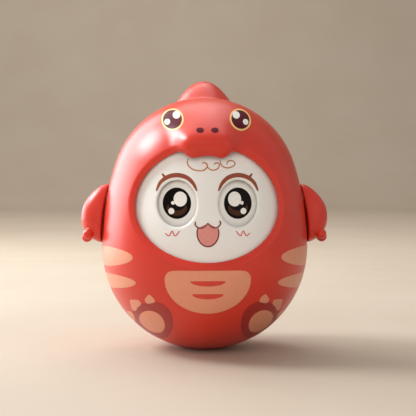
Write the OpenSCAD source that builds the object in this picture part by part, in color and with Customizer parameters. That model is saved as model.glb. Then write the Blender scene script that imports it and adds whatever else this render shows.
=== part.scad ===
/* [Body] */
// Radius of the round bowl that the toy rocks on
bowl_radius = 42.7; // [41.5:0.1:44]
// Radius of the crown of the hood
crown_radius = 39; // [38:0.1:40.5]
// Radius of the long arc that joins the bowl to the crown
side_radius = 112; // [100:1:140]
// Height of the hood without its crest
body_height = 104.3; // [102:0.1:108]
// Radius of the flat that the toy stands on
base_flat_radius = 6; // [4:0.5:8]
// Wall of the two shells
wall = 2.4; // [2.2:0.1:2.8]
// Reach of the tongue that lines up the two shells
tongue_depth = 1.6; // [1:0.1:2.4]
// Play on every side of the tongue
tongue_play = 0.3; // [0.3:0.05:0.5]

/* [Face opening] */
// Half width of the opening in the hood
opening_half_width = 28.2; // [26:0.1:29.5]
// Height of the widest line of the opening
opening_z = 60.2; // [59:0.1:61.5]
// Reach of the opening above its widest line
opening_up = 23.2; // [22:0.1:24]
// Reach of the opening below its widest line
opening_down = 20.8; // [19:0.1:22]
// How far the snout's lip hangs into the opening
lip_drop = 3.8; // [2:0.1:4.5]
// Half width of the level part of the lip
lip_half_width = 7; // [5:0.5:9]
// Width of the bend at each corner of the lip
lip_corner = 4.2; // [3:0.1:6]
// Rise of the lip's middle between its two lobes
lip_wave = 0.4; // [0:0.1:1]
// Radius of the rolled rim round the opening
rim_radius = 1.9; // [1.2:0.1:2.1]

/* [Snout] */
// How far the snout stands out from the hood
snout_reach = 5.2; // [3:0.1:7]
// Half width of the snout's ridge
snout_half_width = 8; // [6:0.5:9]
// Width of the slope beside the ridge
snout_slope = 6.5; // [6:0.5:9]
// How much wider the slope is where the snout runs out
snout_spread = 12; // [6:0.5:14]
// Height of the snout's ridge
snout_z = 86.3; // [84:0.1:88]
// Height at which the snout runs out into the crown
snout_top_z = 101; // [98:0.5:102]
// Height of the snout's underside below its ridge
snout_under = 7; // [6:0.5:8]
// Share of the reach that is left at the lip
snout_lip_share = 0.3; // [0:0.05:0.6]

/* [Crest] */
// Height of the crest's tip above the floor
crest_top_z = 111.8; // [110:0.1:113]
// Angle of the crest above the level, seen from the crown's centre
crest_angle = 68; // [62:0.5:68]
// Radius of the rounded tip of the crest
crest_tip_radius = 6.8; // [6:0.1:7.6]
// Size of the second crest against the first
crest_second = 0.7; // [0.6:0.02:0.76]
// Size of the third crest against the first
crest_third = 0.5; // [0.4:0.02:0.56]

/* [Face] */
// Space between the hood and the face behind it
face_gap = 0.5; // [0.3:0.05:0.8]
// Wall of the face
face_wall = 1.8; // [1.5:0.1:2]
// How far the face reaches behind the rim
face_overlap = 3.3; // [2.5:0.1:3.6]

/* [Eyes] */
// Half of the distance between the eyes
eye_x = 11.8; // [11:0.1:12.5]
// Height of the eyes
eye_z = 61.4; // [60:0.1:62.5]
// Half width of an eye window
window_half_width = 7.6; // [7:0.1:8.4]
// Half height of an eye window
window_half_height = 9; // [8:0.1:10]
// Width of the step round an eye window
window_step = 1.1; // [0.4:0.1:1.2]
// Space between the eye plate and the face at eye height
eye_gap = 0.5; // [0.45:0.05:0.8]
// Thickness of the eye plate
eye_plate_wall = 1.6; // [1.2:0.1:2]
// Height of the centre of the eye plate's sphere
eye_center_z = 55.2; // [54.5:0.1:56]
// Angle of the eye pivot above the level
eye_pivot_angle = 37; // [36:0.5:39]
// Swing of the eyes to each side
eye_swing = 9; // [5:0.5:9]
// Radius of the eye weight
eye_weight_radius = 4; // [3:0.1:4.5]
// Thickness of the eye weight
eye_weight_depth = 5; // [3:0.5:7]

/* [Arms] */
// Angle of the shoulders above the centre of the side arc
shoulder_angle = 10.6; // [9:0.1:12]
// Reach of the arm above its pin
arm_up = 5.5; // [5:0.1:7]
// Reach of the arm below its pin
arm_down = 19; // [16:0.1:20]
// Thickness of the arm
arm_thick = 9.3; // [8:0.1:10]
// Half width of the arm seen from the side
arm_half_width = 8; // [7:0.1:9]
// Space between the arm and the body
arm_gap = 0.35; // [0.3:0.05:0.8]
// Share of the arm's thickness below its widest line
arm_edge = 0.3; // [0.2:0.05:0.4]
// Radius of a finger
finger_radius = 2.2; // [2:0.1:2.8]
// Radius of the shoulder pin
pin_radius = 2.2; // [1.8:0.1:2.6]
// Depth of the pin in the arm
pin_depth = 4; // [3:0.1:4.5]
// Length of the shoulder bearing inside the wall
bearing_length = 3.4; // [2.5:0.1:4.5]

/* [Ballast] */
// Height of the top of the ballast
ballast_top_z = 13.5; // [11:0.1:14.5]
// Space between the ballast and the bowl
ballast_gap = 0.3; // [0.3:0.05:0.6]
// Thickness of the ballast's flange
flange_wall = 3; // [2.5:0.1:4]
// Distance of the flange behind the parting line
flange_y = 14; // [12:0.5:16]

/* [Chime] */
// Height of the chime shelf's underside
shelf_z = 65.5; // [62:0.5:68]
// Wall of the chime bracket
bracket_wall = 2.5; // [2:0.1:3]
// Distance of the clapper behind the parting line
clapper_y = 11; // [10:0.5:12.5]
// Length from the clapper pin to the middle of the hammer
clapper_length = 24; // [20:0.5:28]
// Radius of the hammer
hammer_radius = 5; // [4:0.1:5.5]
// Swing of the clapper to each side
clapper_swing = 11; // [6:0.5:12]
// Length of the longest tone rod under the shelf
rod_length = 33; // [30:0.5:36]
// Step in length from rod to rod
rod_step = 2; // [1:0.25:2.5]
// Radius of a tone rod
rod_radius = 1; // [0.8:0.05:1.2]

/* [Fasteners] */
// Radius of a screw's shank
screw_radius = 1.3; // [1.1:0.05:1.5]
// Radius of a screw's head
head_radius = 2.6; // [2.4:0.1:2.8]
// Height of a screw's head
head_height = 1.7; // [1.4:0.1:2]
// Wall of a boss round its hole
boss_wall = 1.7; // [1.5:0.1:2]
// Radial play of a screw in its pilot hole
screw_play = 0.05; // [0.03:0.01:0.06]
// Radial play of a turning pin
running_play = 0.1; // [0.08:0.01:0.1]
// Play between pieces that must not touch
free_play = 0.3; // [0.3:0.05:0.5]

/* [Hidden] */
$fn = 72;
body_color = [0.84, 0.3, 0.26];
white_color = [0.95, 0.94, 0.92];
steel_color = [0.72, 0.74, 0.77];
iron_color = [0.3, 0.31, 0.33];
nylon_color = [0.86, 0.84, 0.78];
eps = 0.01;

// Centres of the three arcs of the body, each tangent to the next
bowl_z = sqrt(pow(bowl_radius, 2) - pow(base_flat_radius, 2));
crown_z = body_height - crown_radius;
side_z = ((crown_radius - bowl_radius) * (2 * side_radius - bowl_radius - crown_radius)
    / (crown_z - bowl_z) + bowl_z + crown_z) / 2;
side_r = sqrt(pow(side_radius - bowl_radius, 2) - pow(side_z - bowl_z, 2));
bowl_angle = asin((bowl_z - side_z) / (side_radius - bowl_radius));
crown_angle = asin((crown_z - side_z) / (side_radius - crown_radius));

// Point of the body's profile whose normal rises by psi, taken in by d
function body_point(psi, d) =
    psi < bowl_angle ? [(bowl_radius - d) * cos(psi), bowl_z + (bowl_radius - d) * sin(psi)]
    : psi < crown_angle ? [(side_radius - d) * cos(psi) - side_r, side_z + (side_radius - d) * sin(psi)]
    : [(crown_radius - d) * cos(psi), crown_z + (crown_radius - d) * sin(psi)];

// Radius of the body at height z, taken in by d
function body_r(z, d) =
    z < bowl_z + (bowl_radius - d) * sin(bowl_angle)
        ? sqrt(max(0, pow(bowl_radius - d, 2) - pow(z - bowl_z, 2)))
    : z < crown_z + (crown_radius - d) * sin(crown_angle)
        ? sqrt(pow(side_radius - d, 2) - pow(z - side_z, 2)) - side_r
    : sqrt(max(0, pow(crown_radius - d, 2) - pow(z - crown_z, 2)));

function steps(from, to, count) = [for (i = [0:count - 1]) from + (to - from) * i / count];
bowl_steps = 17;
side_steps = 8;
crown_steps = 13;
psi_list = concat(steps(-90, bowl_angle, bowl_steps), steps(bowl_angle, crown_angle, side_steps),
    steps(crown_angle, 90, crown_steps), [90]);
half_count = len(psi_list) - 1;
ring_count = 2 * half_count;

// Closed outline of the body seen from the front, taken in by d
function outline(d) = concat([for (i = [0:half_count]) body_point(psi_list[i], d)],
    [for (i = [half_count - 1:-1:1]) [-body_point(psi_list[i], d)[0], body_point(psi_list[i], d)[1]]]);
function profile(d) = [for (psi = psi_list) body_point(psi, d)];
function reversed(list) = [for (i = [len(list) - 1:-1:0]) list[i]];

function ease(from, to, v) = let (t = min(1, max(0, (v - from) / (to - from)))) t * t * (3 - 2 * t);

// Edge of the opening in the direction phi, moved out by e, without its lip
function plain_edge(phi, e) =
    let (reach = sin(phi) > 0 ? opening_up : opening_down,
        rho = 1 / sqrt(pow(cos(phi) / opening_half_width, 2) + pow(sin(phi) / reach, 2)) + e)
    [rho * cos(phi), opening_z + rho * sin(phi)];

// The same edge with the snout's lip, which hangs in two lobes
function lip(x) = lip_drop * (1 - ease(lip_half_width, lip_half_width + lip_corner, abs(x)))
    - lip_wave * (1 - ease(0, lip_half_width, abs(x)));
function opening_edge(phi) =
    let (p = plain_edge(phi, 0))
    [p[0], sin(phi) > 0 ? p[1] - lip(p[0]) : p[1]];

// Reach of the snout in front of the hood: a ridge that widens and runs out upwards, and ends at the face
function snout(x, z) =
    let (rise = ease(snout_z, snout_top_z, z),
        lip_z = snout_z - snout_under,
        lip_reach = snout_lip_share * ease(opening_z, lip_z, z),
        reach = lip_reach + (1 - snout_lip_share) * ease(lip_z, snout_z, z),
        fan = 1 - pow(1 - rise, 3),
        half = snout_half_width * (1 - fan),
        across = 1 - ease(half, half + snout_slope + snout_spread * fan, abs(x)))
    snout_reach * across * (1 - rise) * reach;
function front_y(p, d) = -sqrt(max(0, pow(body_r(p[1], d), 2) - pow(p[0], 2))) - snout(p[0], p[1]);

// Point between the opening's edge and the body's outline, spaced evenly over the dome
function spread(edge, rim, t) =
    let (middle = [0, opening_z], share = norm(edge - middle) / norm(rim - middle),
        s = sin(asin(share) + (90 - asin(share)) * t))
    edge + (rim - edge) * (s - share) / (1 - share);

// Loft of the front shell's skin: rings round the opening, outside, rim, inside and rebate
outer_rings = 12;
rim_rings = 4;
inner_rings = 9;
rebate_wall = (wall - tongue_play) / 2;
rebate_y = -tongue_depth - tongue_play;
function skin_column(i) =
    let (out = outline(0)[i], mid = outline(rebate_wall)[i], in = outline(wall)[i],
        phi = atan2(out[1] - opening_z, out[0]),
        lip = opening_edge(phi),
        edge = lip + rim_radius * [cos(phi), sin(phi)])
    concat(
        [[out[0], 0, out[1]]],
        [for (j = [outer_rings - 1:-1:0]) let (p = spread(edge, out, j / outer_rings))
            [p[0], front_y(p, 0), p[1]]],
        [for (k = [1:rim_rings]) let (turn = 90 * k / rim_rings, p = lip + (edge - lip) * (1 - sin(turn)))
            [p[0], front_y(p, 0) + rim_radius * (1 - cos(turn)), p[1]]],
        [for (j = [0:inner_rings - 1]) let (p = spread(lip, in, j / inner_rings))
            [p[0], front_y(p, wall), p[1]]],
        [[in[0], rebate_y, in[1]], [mid[0], rebate_y, mid[1]], [mid[0], 0, mid[1]]]);

module front_skin() {
    columns = [for (i = [0:ring_count - 1]) skin_column(i)];
    depth = len(columns[0]);
    faces = [for (i = [0:ring_count - 1], j = [0:depth - 1])
        let (a = i * depth + j, b = i * depth + (j + 1) % depth,
            c = ((i + 1) % ring_count) * depth + (j + 1) % depth, d = ((i + 1) % ring_count) * depth + j)
        each [[a, b, d], [b, c, d]]];
    polyhedron(points = [for (column = columns, p = column) p], faces = faces, convexity = 6);
}

module body_solid(d) {
    rotate_extrude() polygon(concat(profile(d), [[0, crown_z]]));
}

// Sets the z axis of its children along y, at a place seen from the front
module along_y(x, y, z, way) {
    translate([x, y, z]) rotate([-90 * way, 0, 0]) children();
}
module both_sides() {
    children();
    mirror([1, 0, 0]) children();
}
// A length that clears the whole toy
beyond = 2 * body_height;
module half_space(way) {
    translate([-beyond / 2, way > 0 ? 0 : -beyond / 2, -beyond / 4]) cube([beyond, beyond / 2, beyond]);
}
module below_floor() {
    translate([-beyond / 2, -beyond / 2, -beyond]) cube(beyond);
}

// Pan head screw along +z, its head below the seat at z = 0
module screw(length) {
    difference() {
        union() {
            translate([0, 0, -head_height]) cylinder(r = head_radius, h = head_height);
            translate([0, 0, -eps]) cylinder(r = screw_radius, h = length);
        }
        for (turn = [0, 90])
            rotate(turn) translate([-head_radius * 0.6, -0.35, -head_height - 1])
                cube([head_radius * 1.2, 0.7, 2]);
    }
}

// Places of the screws, seen from the front
shell_upper = [16, 92];
shell_lower = [27, 21];
shell_screw_length = 18;
shell_seat_y = 7;
pilot = screw_radius + screw_play;
boss_radius = pilot + boss_wall;
well_radius = head_radius + free_play;
well_boss = well_radius + boss_wall;

// Shoulder frame: z along the pin and out of the body, x down the side
shoulder = body_point(shoulder_angle, 0);
bearing_bore = pin_radius + running_play;
bearing_wall = 2.4;
bearing_radius = bearing_bore + bearing_wall;
bearing_end = -wall - bearing_length;
module at_shoulder(side) {
    mirror([side > 0 ? 0 : 1, 0, 0])
        translate([shoulder[0], 0, shoulder[1]]) rotate([0, 90 - shoulder_angle, 0]) children();
}
module shoulder_bore() {
    for (side = [-1, 1])
        at_shoulder(side) translate([0, 0, bearing_end - 1]) rotate(70) cylinder(r = bearing_bore, h = 12);
}
module shoulder_bearings(d) {
    for (side = [-1, 1])
        at_shoulder(side) translate([0, 0, bearing_end]) rotate(70)
            cylinder(r = bearing_radius + d, h = -bearing_end + 3);
}
split_play = 0.1;
// Radial play of a pin that is pressed in
pin_fit = 0.03;

// Face: taken in from the hood, held by two pairs of tabs
face_out = wall + face_gap;
face_in = face_out + face_wall;
tab_radius = head_radius + 1.8;
function face_edge(x, reach) =
    (reach + face_overlap) * sqrt(1 - pow(x / (opening_half_width + face_overlap), 2));
tab_upper = [23.5, opening_z + face_edge(23.5, opening_up) + tab_radius * 0.5];
tab_lower = [14, opening_z - face_edge(14, opening_down) - tab_radius * 0.4];
stem_radius = pilot + 1.2;
tab_hole = stem_radius + 0.2;
function tab_seat(at, r) = -sqrt(max(0, pow(body_r(at[1] + sign(at[1] - opening_z) * r, face_in), 2)
    - pow(at[0] + r, 2))) + 0.4;
upper_seat = tab_seat(tab_upper, tab_radius * 0.75);
lower_seat = tab_seat(tab_lower, tab_radius * 0.75);
tab_screw_length = 6;

module front_shell() {
    color(body_color) difference() {
        union() {
            front_skin();
            intersection() {
                body_solid(wall * 0.3);
                union() {
                    both_sides() {
                        along_y(shell_upper[0], 0, shell_upper[1], -1)
                            cylinder(r = boss_radius, h = bowl_radius);
                        along_y(shell_lower[0], 0, shell_lower[1], -1)
                            cylinder(r = boss_radius, h = bowl_radius);
                        along_y(tab_upper[0], upper_seat - 0.2, tab_upper[1], -1)
                            cylinder(r = stem_radius, h = bowl_radius);
                        along_y(tab_lower[0], lower_seat - 0.2, tab_lower[1], -1)
                            cylinder(r = stem_radius, h = bowl_radius);
                    }
                    intersection() {
                        shoulder_bearings(0);
                        translate([0, -split_play, 0]) half_space(-1);
                    }
                }
            }
        }
        below_floor();
        shoulder_bore();
        both_sides() {
            along_y(shell_upper[0], 1, shell_upper[1], -1)
                cylinder(r = pilot, h = shell_screw_length - shell_seat_y + 1.5);
            along_y(shell_lower[0], 1, shell_lower[1], -1)
                cylinder(r = pilot, h = shell_screw_length - shell_seat_y + 1.5);
            along_y(tab_upper[0], upper_seat + 1, tab_upper[1], -1)
                cylinder(r = pilot, h = tab_screw_length + 1.4);
            along_y(tab_lower[0], lower_seat + 1, tab_lower[1], -1)
                cylinder(r = pilot, h = tab_screw_length + 1);
        }
    }
}

// Rounded spike, its tip at the origin and its axis down along -z
module spike(tip_radius, depth) {
    count = 12;
    rotate_extrude() polygon(concat([[0, -depth]],
        [for (i = [count:-1:0]) let (r = sqrt(2 * tip_radius * depth) * i / count)
            [r, -r * r / (2 * tip_radius)]]));
}
second_angle = 31;
third_angle = 9;
crest_height = (crest_top_z - crown_z) / sin(crest_angle) - crown_radius;
module back_spike(psi, size) {
    at = body_point(psi, 0);
    height = crest_height * size;
    translate([0, at[0], at[1]]) rotate([psi - 90, 0, 0]) translate([0, 0, height])
        spike(crest_tip_radius * size, height + 5);
}
module back_hollow(psi, size) {
    at = body_point(psi, 0);
    height = crest_height * size - wall;
    translate([0, at[0], at[1]]) rotate([psi - 90, 0, 0]) translate([0, 0, height])
        spike(crest_tip_radius * size * 0.75, height + wall + 2);
}

chime_screw_at = [13, 57];
ballast_screw_at = [10, 21];
bracket_y = 26;
inner_screw_length = 10;
bracket_seat = bracket_y - bracket_wall;
flange_back = flange_y + flange_wall;

module rear_shell() {
    color(body_color) difference() {
        rear_solid();
        back_hollow(crest_angle, 1);
        back_hollow(second_angle, crest_second);
        back_hollow(third_angle, crest_third);
        both_sides() {
            for (at = [shell_upper, shell_lower]) {
                along_y(at[0], -1, at[1], 1) cylinder(r = pilot + 0.3, h = 20);
                along_y(at[0], shell_seat_y, at[1], 1) cylinder(r = well_radius, h = bowl_radius);
            }
            along_y(chime_screw_at[0], bracket_y - 1, chime_screw_at[1], 1)
                cylinder(r = pilot, h = inner_screw_length - bracket_wall + 2);
            along_y(ballast_screw_at[0], flange_back - 1, ballast_screw_at[1], 1)
                cylinder(r = pilot, h = inner_screw_length - flange_wall + 2);
        }
    }
}
module rear_solid() {
    difference() {
        union() {
            rotate_extrude(angle = 180) polygon(concat(profile(0), reversed(profile(wall))));
            difference() {
                along_y(0, 1.2, 0, -1) linear_extrude(tongue_depth + 1.2) difference() {
                    polygon(outline(rebate_wall + tongue_play));
                    polygon(outline(wall - 0.2));
                }
                shoulder_bearings(free_play);
            }
            difference() {
                union() {
                    back_spike(crest_angle, 1);
                    back_spike(second_angle, crest_second);
                    back_spike(third_angle, crest_third);
                }
                body_solid(wall / 2);
                half_space(-1);
            }
            intersection() {
                body_solid(wall * 0.3);
                union() {
                    both_sides() {
                        along_y(shell_upper[0], 0, shell_upper[1], 1)
                            cylinder(r = well_boss, h = bowl_radius);
                        along_y(shell_lower[0], 0, shell_lower[1], 1)
                            cylinder(r = well_boss, h = bowl_radius);
                        along_y(chime_screw_at[0], bracket_y, chime_screw_at[1], 1)
                            cylinder(r = boss_radius, h = bowl_radius);
                        along_y(ballast_screw_at[0], flange_back, ballast_screw_at[1], 1)
                            cylinder(r = boss_radius, h = bowl_radius);
                    }
                    intersection() {
                        shoulder_bearings(0);
                        half_space(1);
                    }
                }
            }
        }
        below_floor();
        shoulder_bore();
    }
}

module shell_screws() {
    color(steel_color) both_sides() {
        for (at = [shell_upper, shell_lower])
            along_y(at[0], shell_seat_y, at[1], -1) screw(shell_screw_length);
    }
}

// Oval round a middle point, as a list of points
function oval(x, z, a, b) = [for (i = [0:47]) [x + a * cos(7.5 * i), z + b * sin(7.5 * i)]];
module seen_from_front() {
    rotate([90, 0, 0]) linear_extrude(beyond / 2) children();
}

// Eye plate: part of a sphere about the eye centre, hung on the pivot
eye_radius = min([for (p = profile(face_in)) norm(p - [0, eye_center_z])]) - eye_gap;
eye_inside = eye_radius - eye_plate_wall;
pivot_radius = 1.5;
thread_radius = 1.1;
thread_length = 4;
pivot_boss_radius = 3.4;
stud_radius = 1.47;
tail_half_width = 4.6;
tail_angle = -22;
stop_radius = 1.4;
stop_z = 44;
pivot_z = eye_center_z + eye_radius * sin(eye_pivot_angle);
stop_x = tail_half_width + (pivot_z - stop_z) * tan(eye_swing) + stop_radius + free_play;
module eye_axis(angle) {
    translate([0, 0, eye_center_z]) rotate([90 - angle, 0, 0]) children();
}

module face_mask() {
    tabs = [tab_upper, tab_lower];
    seats = [upper_seat, lower_seat];
    color(white_color) difference() {
        union() {
            intersection() {
                rotate_extrude(angle = 180, start = 180)
                    polygon(concat(profile(face_out), reversed(profile(face_in))));
                seen_from_front() {
                    polygon([for (phi = [0:6:354]) plain_edge(phi, face_overlap)]);
                    both_sides() for (at = tabs) translate(at) circle(tab_radius);
                }
            }
            intersection() {
                body_solid(face_out + face_wall * 0.4);
                union() {
                    both_sides() {
                        for (k = [0, 1])
                            along_y(tabs[k][0], seats[k], tabs[k][1], -1)
                                cylinder(r = tab_radius - 0.3, h = 40);
                        along_y(stop_x, -eye_inside * cos(tail_angle) + 2, stop_z, -1)
                            cylinder(r = stop_radius, h = 20);
                    }
                    eye_axis(eye_pivot_angle) translate([0, 0, eye_radius + free_play])
                        cylinder(r = pivot_boss_radius, h = 20);
                }
            }
        }
        both_sides() {
            for (k = [0, 1])
                along_y(tabs[k][0], seats[k] + 1, tabs[k][1], -1) cylinder(r = tab_hole, h = 40);
            seen_from_front()
                polygon(oval(eye_x, eye_z, window_half_width, window_half_height));
            difference() {
                seen_from_front()
                    polygon(oval(eye_x, eye_z, window_half_width + window_step,
                        window_half_height + window_step));
                body_solid(face_out + window_step);
            }
        }
        eye_axis(eye_pivot_angle) translate([0, 0, eye_radius])
            cylinder(r = thread_radius + screw_play, h = thread_length + free_play);
    }
}

module face_screws() {
    color(steel_color) both_sides() {
        along_y(tab_upper[0], upper_seat, tab_upper[1], -1) screw(tab_screw_length);
        along_y(tab_lower[0], lower_seat, tab_lower[1], -1) screw(tab_screw_length);
    }
}

module eye_plate() {
    lobe = window_half_height + 4;
    color(white_color) difference() {
        intersection() {
            translate([0, 0, eye_center_z]) difference() {
                sphere(eye_radius);
                sphere(eye_inside);
            }
            seen_from_front() {
                for (x = [-eye_x, eye_x]) translate([x, eye_z]) circle(lobe);
                translate([-eye_x, eye_z - lobe * 0.8]) square([2 * eye_x, lobe * 1.6]);
                translate([0, pivot_z]) circle(4.8);
                translate([-4.8, eye_z]) square([9.6, pivot_z - eye_z]);
                translate([-tail_half_width, stop_z - 3]) square([2 * tail_half_width, eye_z - stop_z]);
                translate([0, stop_z - 3]) circle(tail_half_width);
            }
        }
        eye_axis(eye_pivot_angle) cylinder(r = pivot_radius + running_play, h = beyond);
        eye_axis(tail_angle) cylinder(r = stud_radius + pin_fit, h = beyond);
    }
}

module eye_weight() {
    color(steel_color) eye_axis(tail_angle) {
        translate([0, 0, eye_inside - 0.4 - eye_weight_depth])
            cylinder(r = eye_weight_radius, h = eye_weight_depth);
        translate([0, 0, eye_inside - 1]) cylinder(r = stud_radius, h = eye_plate_wall + 0.7);
    }
}

washer_wall = 0.6;
module eye_pivot_screw() {
    color(steel_color) eye_axis(eye_pivot_angle) {
        translate([0, 0, eye_inside - 2 * free_play - washer_wall - head_height])
            cylinder(r = head_radius, h = head_height + eps);
        translate([0, 0, eye_inside - 2 * free_play - washer_wall])
            cylinder(r = pivot_radius, h = eye_plate_wall + 3 * free_play + washer_wall - 0.1);
        translate([0, 0, eye_inside]) cylinder(r = thread_radius, h = eye_plate_wall + thread_length);
    }
}
module eye_pivot_washer() {
    color(steel_color) eye_axis(eye_pivot_angle)
        translate([0, 0, eye_inside - free_play - washer_wall - 0.25]) difference() {
            cylinder(r = head_radius + 0.6, h = washer_wall);
            translate([0, 0, -1]) cylinder(r = pivot_radius + screw_play, h = washer_wall + 2);
        }
}

module ballast_weight() {
    cap = bowl_radius - wall - ballast_gap;
    color(iron_color) difference() {
        union() {
            intersection() {
                translate([0, 0, bowl_z]) sphere(cap);
                translate([-beyond / 2, -beyond / 2, ballast_top_z - beyond]) cube(beyond);
            }
            translate([-16, flange_y, ballast_top_z - 2])
                cube([32, flange_wall, ballast_screw_at[1] - ballast_top_z + 2 + 6]);
        }
        both_sides() along_y(ballast_screw_at[0], flange_y - 1, ballast_screw_at[1], 1)
            cylinder(r = pilot + 0.3, h = flange_wall + 2);
    }
}
module ballast_screws() {
    color(steel_color) both_sides()
        along_y(ballast_screw_at[0], flange_y, ballast_screw_at[1], 1) screw(inner_screw_length);
}

// Chime: shelf and back plate, rods hung from the shelf, clapper on a pin between two ears
clapper_z = shelf_z - 4.5;
hub_radius = 2.8;
hub_half = 3.2;
ear_wall = 2;
clapper_pin_radius = 1;
stalk_radius = 1.3;
hammer_half = 5.5;
rod_x = clapper_length * sin(clapper_swing) + hammer_radius * cos(clapper_swing) + rod_radius + free_play;
rod_gap = 4;
module chime_bracket() {
    plate_half = chime_screw_at[0] + 5;
    ear_y = hub_half + free_play;
    color(nylon_color) difference() {
        union() {
            translate([-plate_half, bracket_seat, chime_screw_at[1] - 5])
                cube([2 * plate_half, bracket_wall, shelf_z + bracket_wall - chime_screw_at[1] + 5]);
            translate([-plate_half, clapper_y - 9, shelf_z])
                cube([2 * plate_half, bracket_seat - clapper_y + 9 + eps, bracket_wall]);
            for (side = [0, 1])
                translate([0, clapper_y, 0]) mirror([0, side, 0]) translate([-3, ear_y, clapper_z])
                    cube([6, ear_wall, shelf_z - clapper_z + 1]);
            for (side = [0, 1])
                translate([0, clapper_y, 0]) mirror([0, side, 0])
                    along_y(0, ear_y, clapper_z, 1) cylinder(r = 3, h = ear_wall);
        }
        along_y(0, clapper_y - 9, clapper_z, 1) cylinder(r = clapper_pin_radius + pin_fit, h = 18);
        both_sides() along_y(chime_screw_at[0], bracket_seat - 1, chime_screw_at[1], 1)
            cylinder(r = pilot + 0.3, h = bracket_wall + 2);
        for (k = [0:3]) rod_place(k) translate([0, 0, -1])
            cylinder(r = rod_radius + pin_fit, h = bracket_wall + 2);
    }
}
module rod_place(k) {
    translate([k < 2 ? rod_x : -rod_x, clapper_y + (k % 2 == 0 ? -rod_gap : rod_gap), shelf_z]) children();
}
module chime_rod(k) {
    length = rod_length - k * rod_step;
    color(steel_color) rod_place(k) translate([0, 0, -length])
        cylinder(r = rod_radius, h = length + bracket_wall);
}
module chime_rod_1() { chime_rod(0); }
module chime_rod_2() { chime_rod(1); }
module chime_rod_3() { chime_rod(2); }
module chime_rod_4() { chime_rod(3); }
module chime_screws() {
    color(steel_color) both_sides()
        along_y(chime_screw_at[0], bracket_seat, chime_screw_at[1], 1) screw(inner_screw_length);
}
module clapper_pin() {
    length = 2 * (hub_half + free_play + ear_wall);
    color(steel_color) along_y(0, clapper_y - length / 2, clapper_z, 1)
        cylinder(r = clapper_pin_radius, h = length);
}
module clapper_arm() {
    color(nylon_color) difference() {
        union() {
            along_y(0, clapper_y - hub_half, clapper_z, 1) cylinder(r = hub_radius, h = 2 * hub_half);
            translate([0, clapper_y, clapper_z - clapper_length])
                cylinder(r = stalk_radius, h = clapper_length - 1.5);
        }
        along_y(0, clapper_y - hub_half - 1, clapper_z, 1)
            cylinder(r = clapper_pin_radius + running_play, h = 2 * hub_half + 2);
    }
}
module clapper_hammer() {
    color(steel_color) translate([0, clapper_y, clapper_z - clapper_length]) difference() {
        along_y(0, -hammer_half, 0, 1) cylinder(r = hammer_radius, h = 2 * hammer_half);
        cylinder(r = stalk_radius + pin_fit, h = clapper_length);
    }
}

// Arm at share t of its length: thickness, half width and one point of its section
function arm_swell(t) = sqrt(max(0, 1 - pow(abs(2 * t - 1), t < 0.5 ? 2.2 : 3)));
function arm_out(t) = arm_thick * arm_swell(t) * (0.62 + 0.38 * ease(-0.2, 0.6, t));
function arm_side(t) = arm_half_width * arm_swell(t) * (0.68 + 0.32 * ease(0, 0.8, t));
// The inner face is dished about the pin, so that it follows the body's side at every turn
function arm_floor(x, y) = arm_gap - (x * x + y * y) / (2 * side_radius);
function boxed(v) = sign(v) * pow(abs(v), 0.65);
function arm_point(t, turn) =
    let (inner = sin(turn) < 0,
        x = -arm_up + (arm_up + arm_down) * t,
        y = arm_side(t) * (inner ? boxed(cos(turn)) : cos(turn)),
        up = inner ? arm_edge * (1 + boxed(sin(turn))) : arm_edge + (1 - arm_edge) * sin(turn))
    [x, y, arm_floor(x, y) + arm_out(t) * up];
arm_rings = 16;
arm_sides = 28;
module arm_blade() {
    shares = [for (j = [0:arm_rings]) 0.5 - 0.498 * cos(180 * j / arm_rings)];
    points = [for (t = shares, k = [0:arm_sides - 1]) arm_point(t, 360 * k / arm_sides)];
    sides = [for (j = [0:arm_rings - 1], k = [0:arm_sides - 1])
        let (a = j * arm_sides + k, b = j * arm_sides + (k + 1) % arm_sides)
        each [[a, a + arm_sides, b], [b, a + arm_sides, b + arm_sides]]];
    polyhedron(points = points, convexity = 4, faces = concat(sides,
        [[for (k = [0:arm_sides - 1]) k], [for (k = [arm_sides - 1:-1:0]) arm_rings * arm_sides + k]]));
}
// Two fingers beside a longer middle one
fingers = [[arm_down - 2.8, -0.68 * arm_half_width, 0.48 * arm_thick],
    [arm_down - 1.2, 0, 0.55 * arm_thick], [arm_down - 2.8, 0.68 * arm_half_width, 0.48 * arm_thick]];
module arm(side) {
    color(body_color) at_shoulder(side) difference() {
        union() {
            arm_blade();
            for (place = fingers) translate(place) sphere(finger_radius);
        }
        translate([0, 0, -1]) cylinder(r = pin_radius + pin_fit, h = pin_depth + 1);
    }
}
module arm_left() { arm(1); }
module arm_right() { arm(-1); }

module shoulder_pin(side) {
    color(nylon_color) at_shoulder(side) {
        translate([0, 0, bearing_end - 3 * free_play - washer_wall])
            cylinder(r = pin_radius, h = -bearing_end + 3 * free_play + washer_wall + pin_depth - 0.2);
        translate([0, 0, bearing_end - 2 * free_play - washer_wall - 1.6])
            cylinder(r = bearing_radius - 0.4, h = 1.6);
    }
}
module shoulder_washer(side) {
    color(steel_color) at_shoulder(side) translate([0, 0, bearing_end - free_play - washer_wall - 0.25])
        difference() {
        cylinder(r = bearing_radius, h = washer_wall);
        translate([0, 0, -1]) cylinder(r = pin_radius + screw_play, h = washer_wall + 2);
    }
}
module shoulder_pin_left() { shoulder_pin(1); }
module shoulder_pin_right() { shoulder_pin(-1); }
module shoulder_washer_left() { shoulder_washer(1); }
module shoulder_washer_right() { shoulder_washer(-1); }

front_shell();
rear_shell();
shell_screws();
face_mask();
face_screws();
eye_plate();
eye_weight();
eye_pivot_screw();
eye_pivot_washer();
ballast_weight();
ballast_screws();
chime_bracket();
chime_screws();
chime_rod_1();
chime_rod_2();
chime_rod_3();
chime_rod_4();
clapper_pin();
clapper_arm();
clapper_hammer();
arm_left();
arm_right();
shoulder_pin_left();
shoulder_pin_right();
shoulder_washer_left();
shoulder_washer_right();
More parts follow.
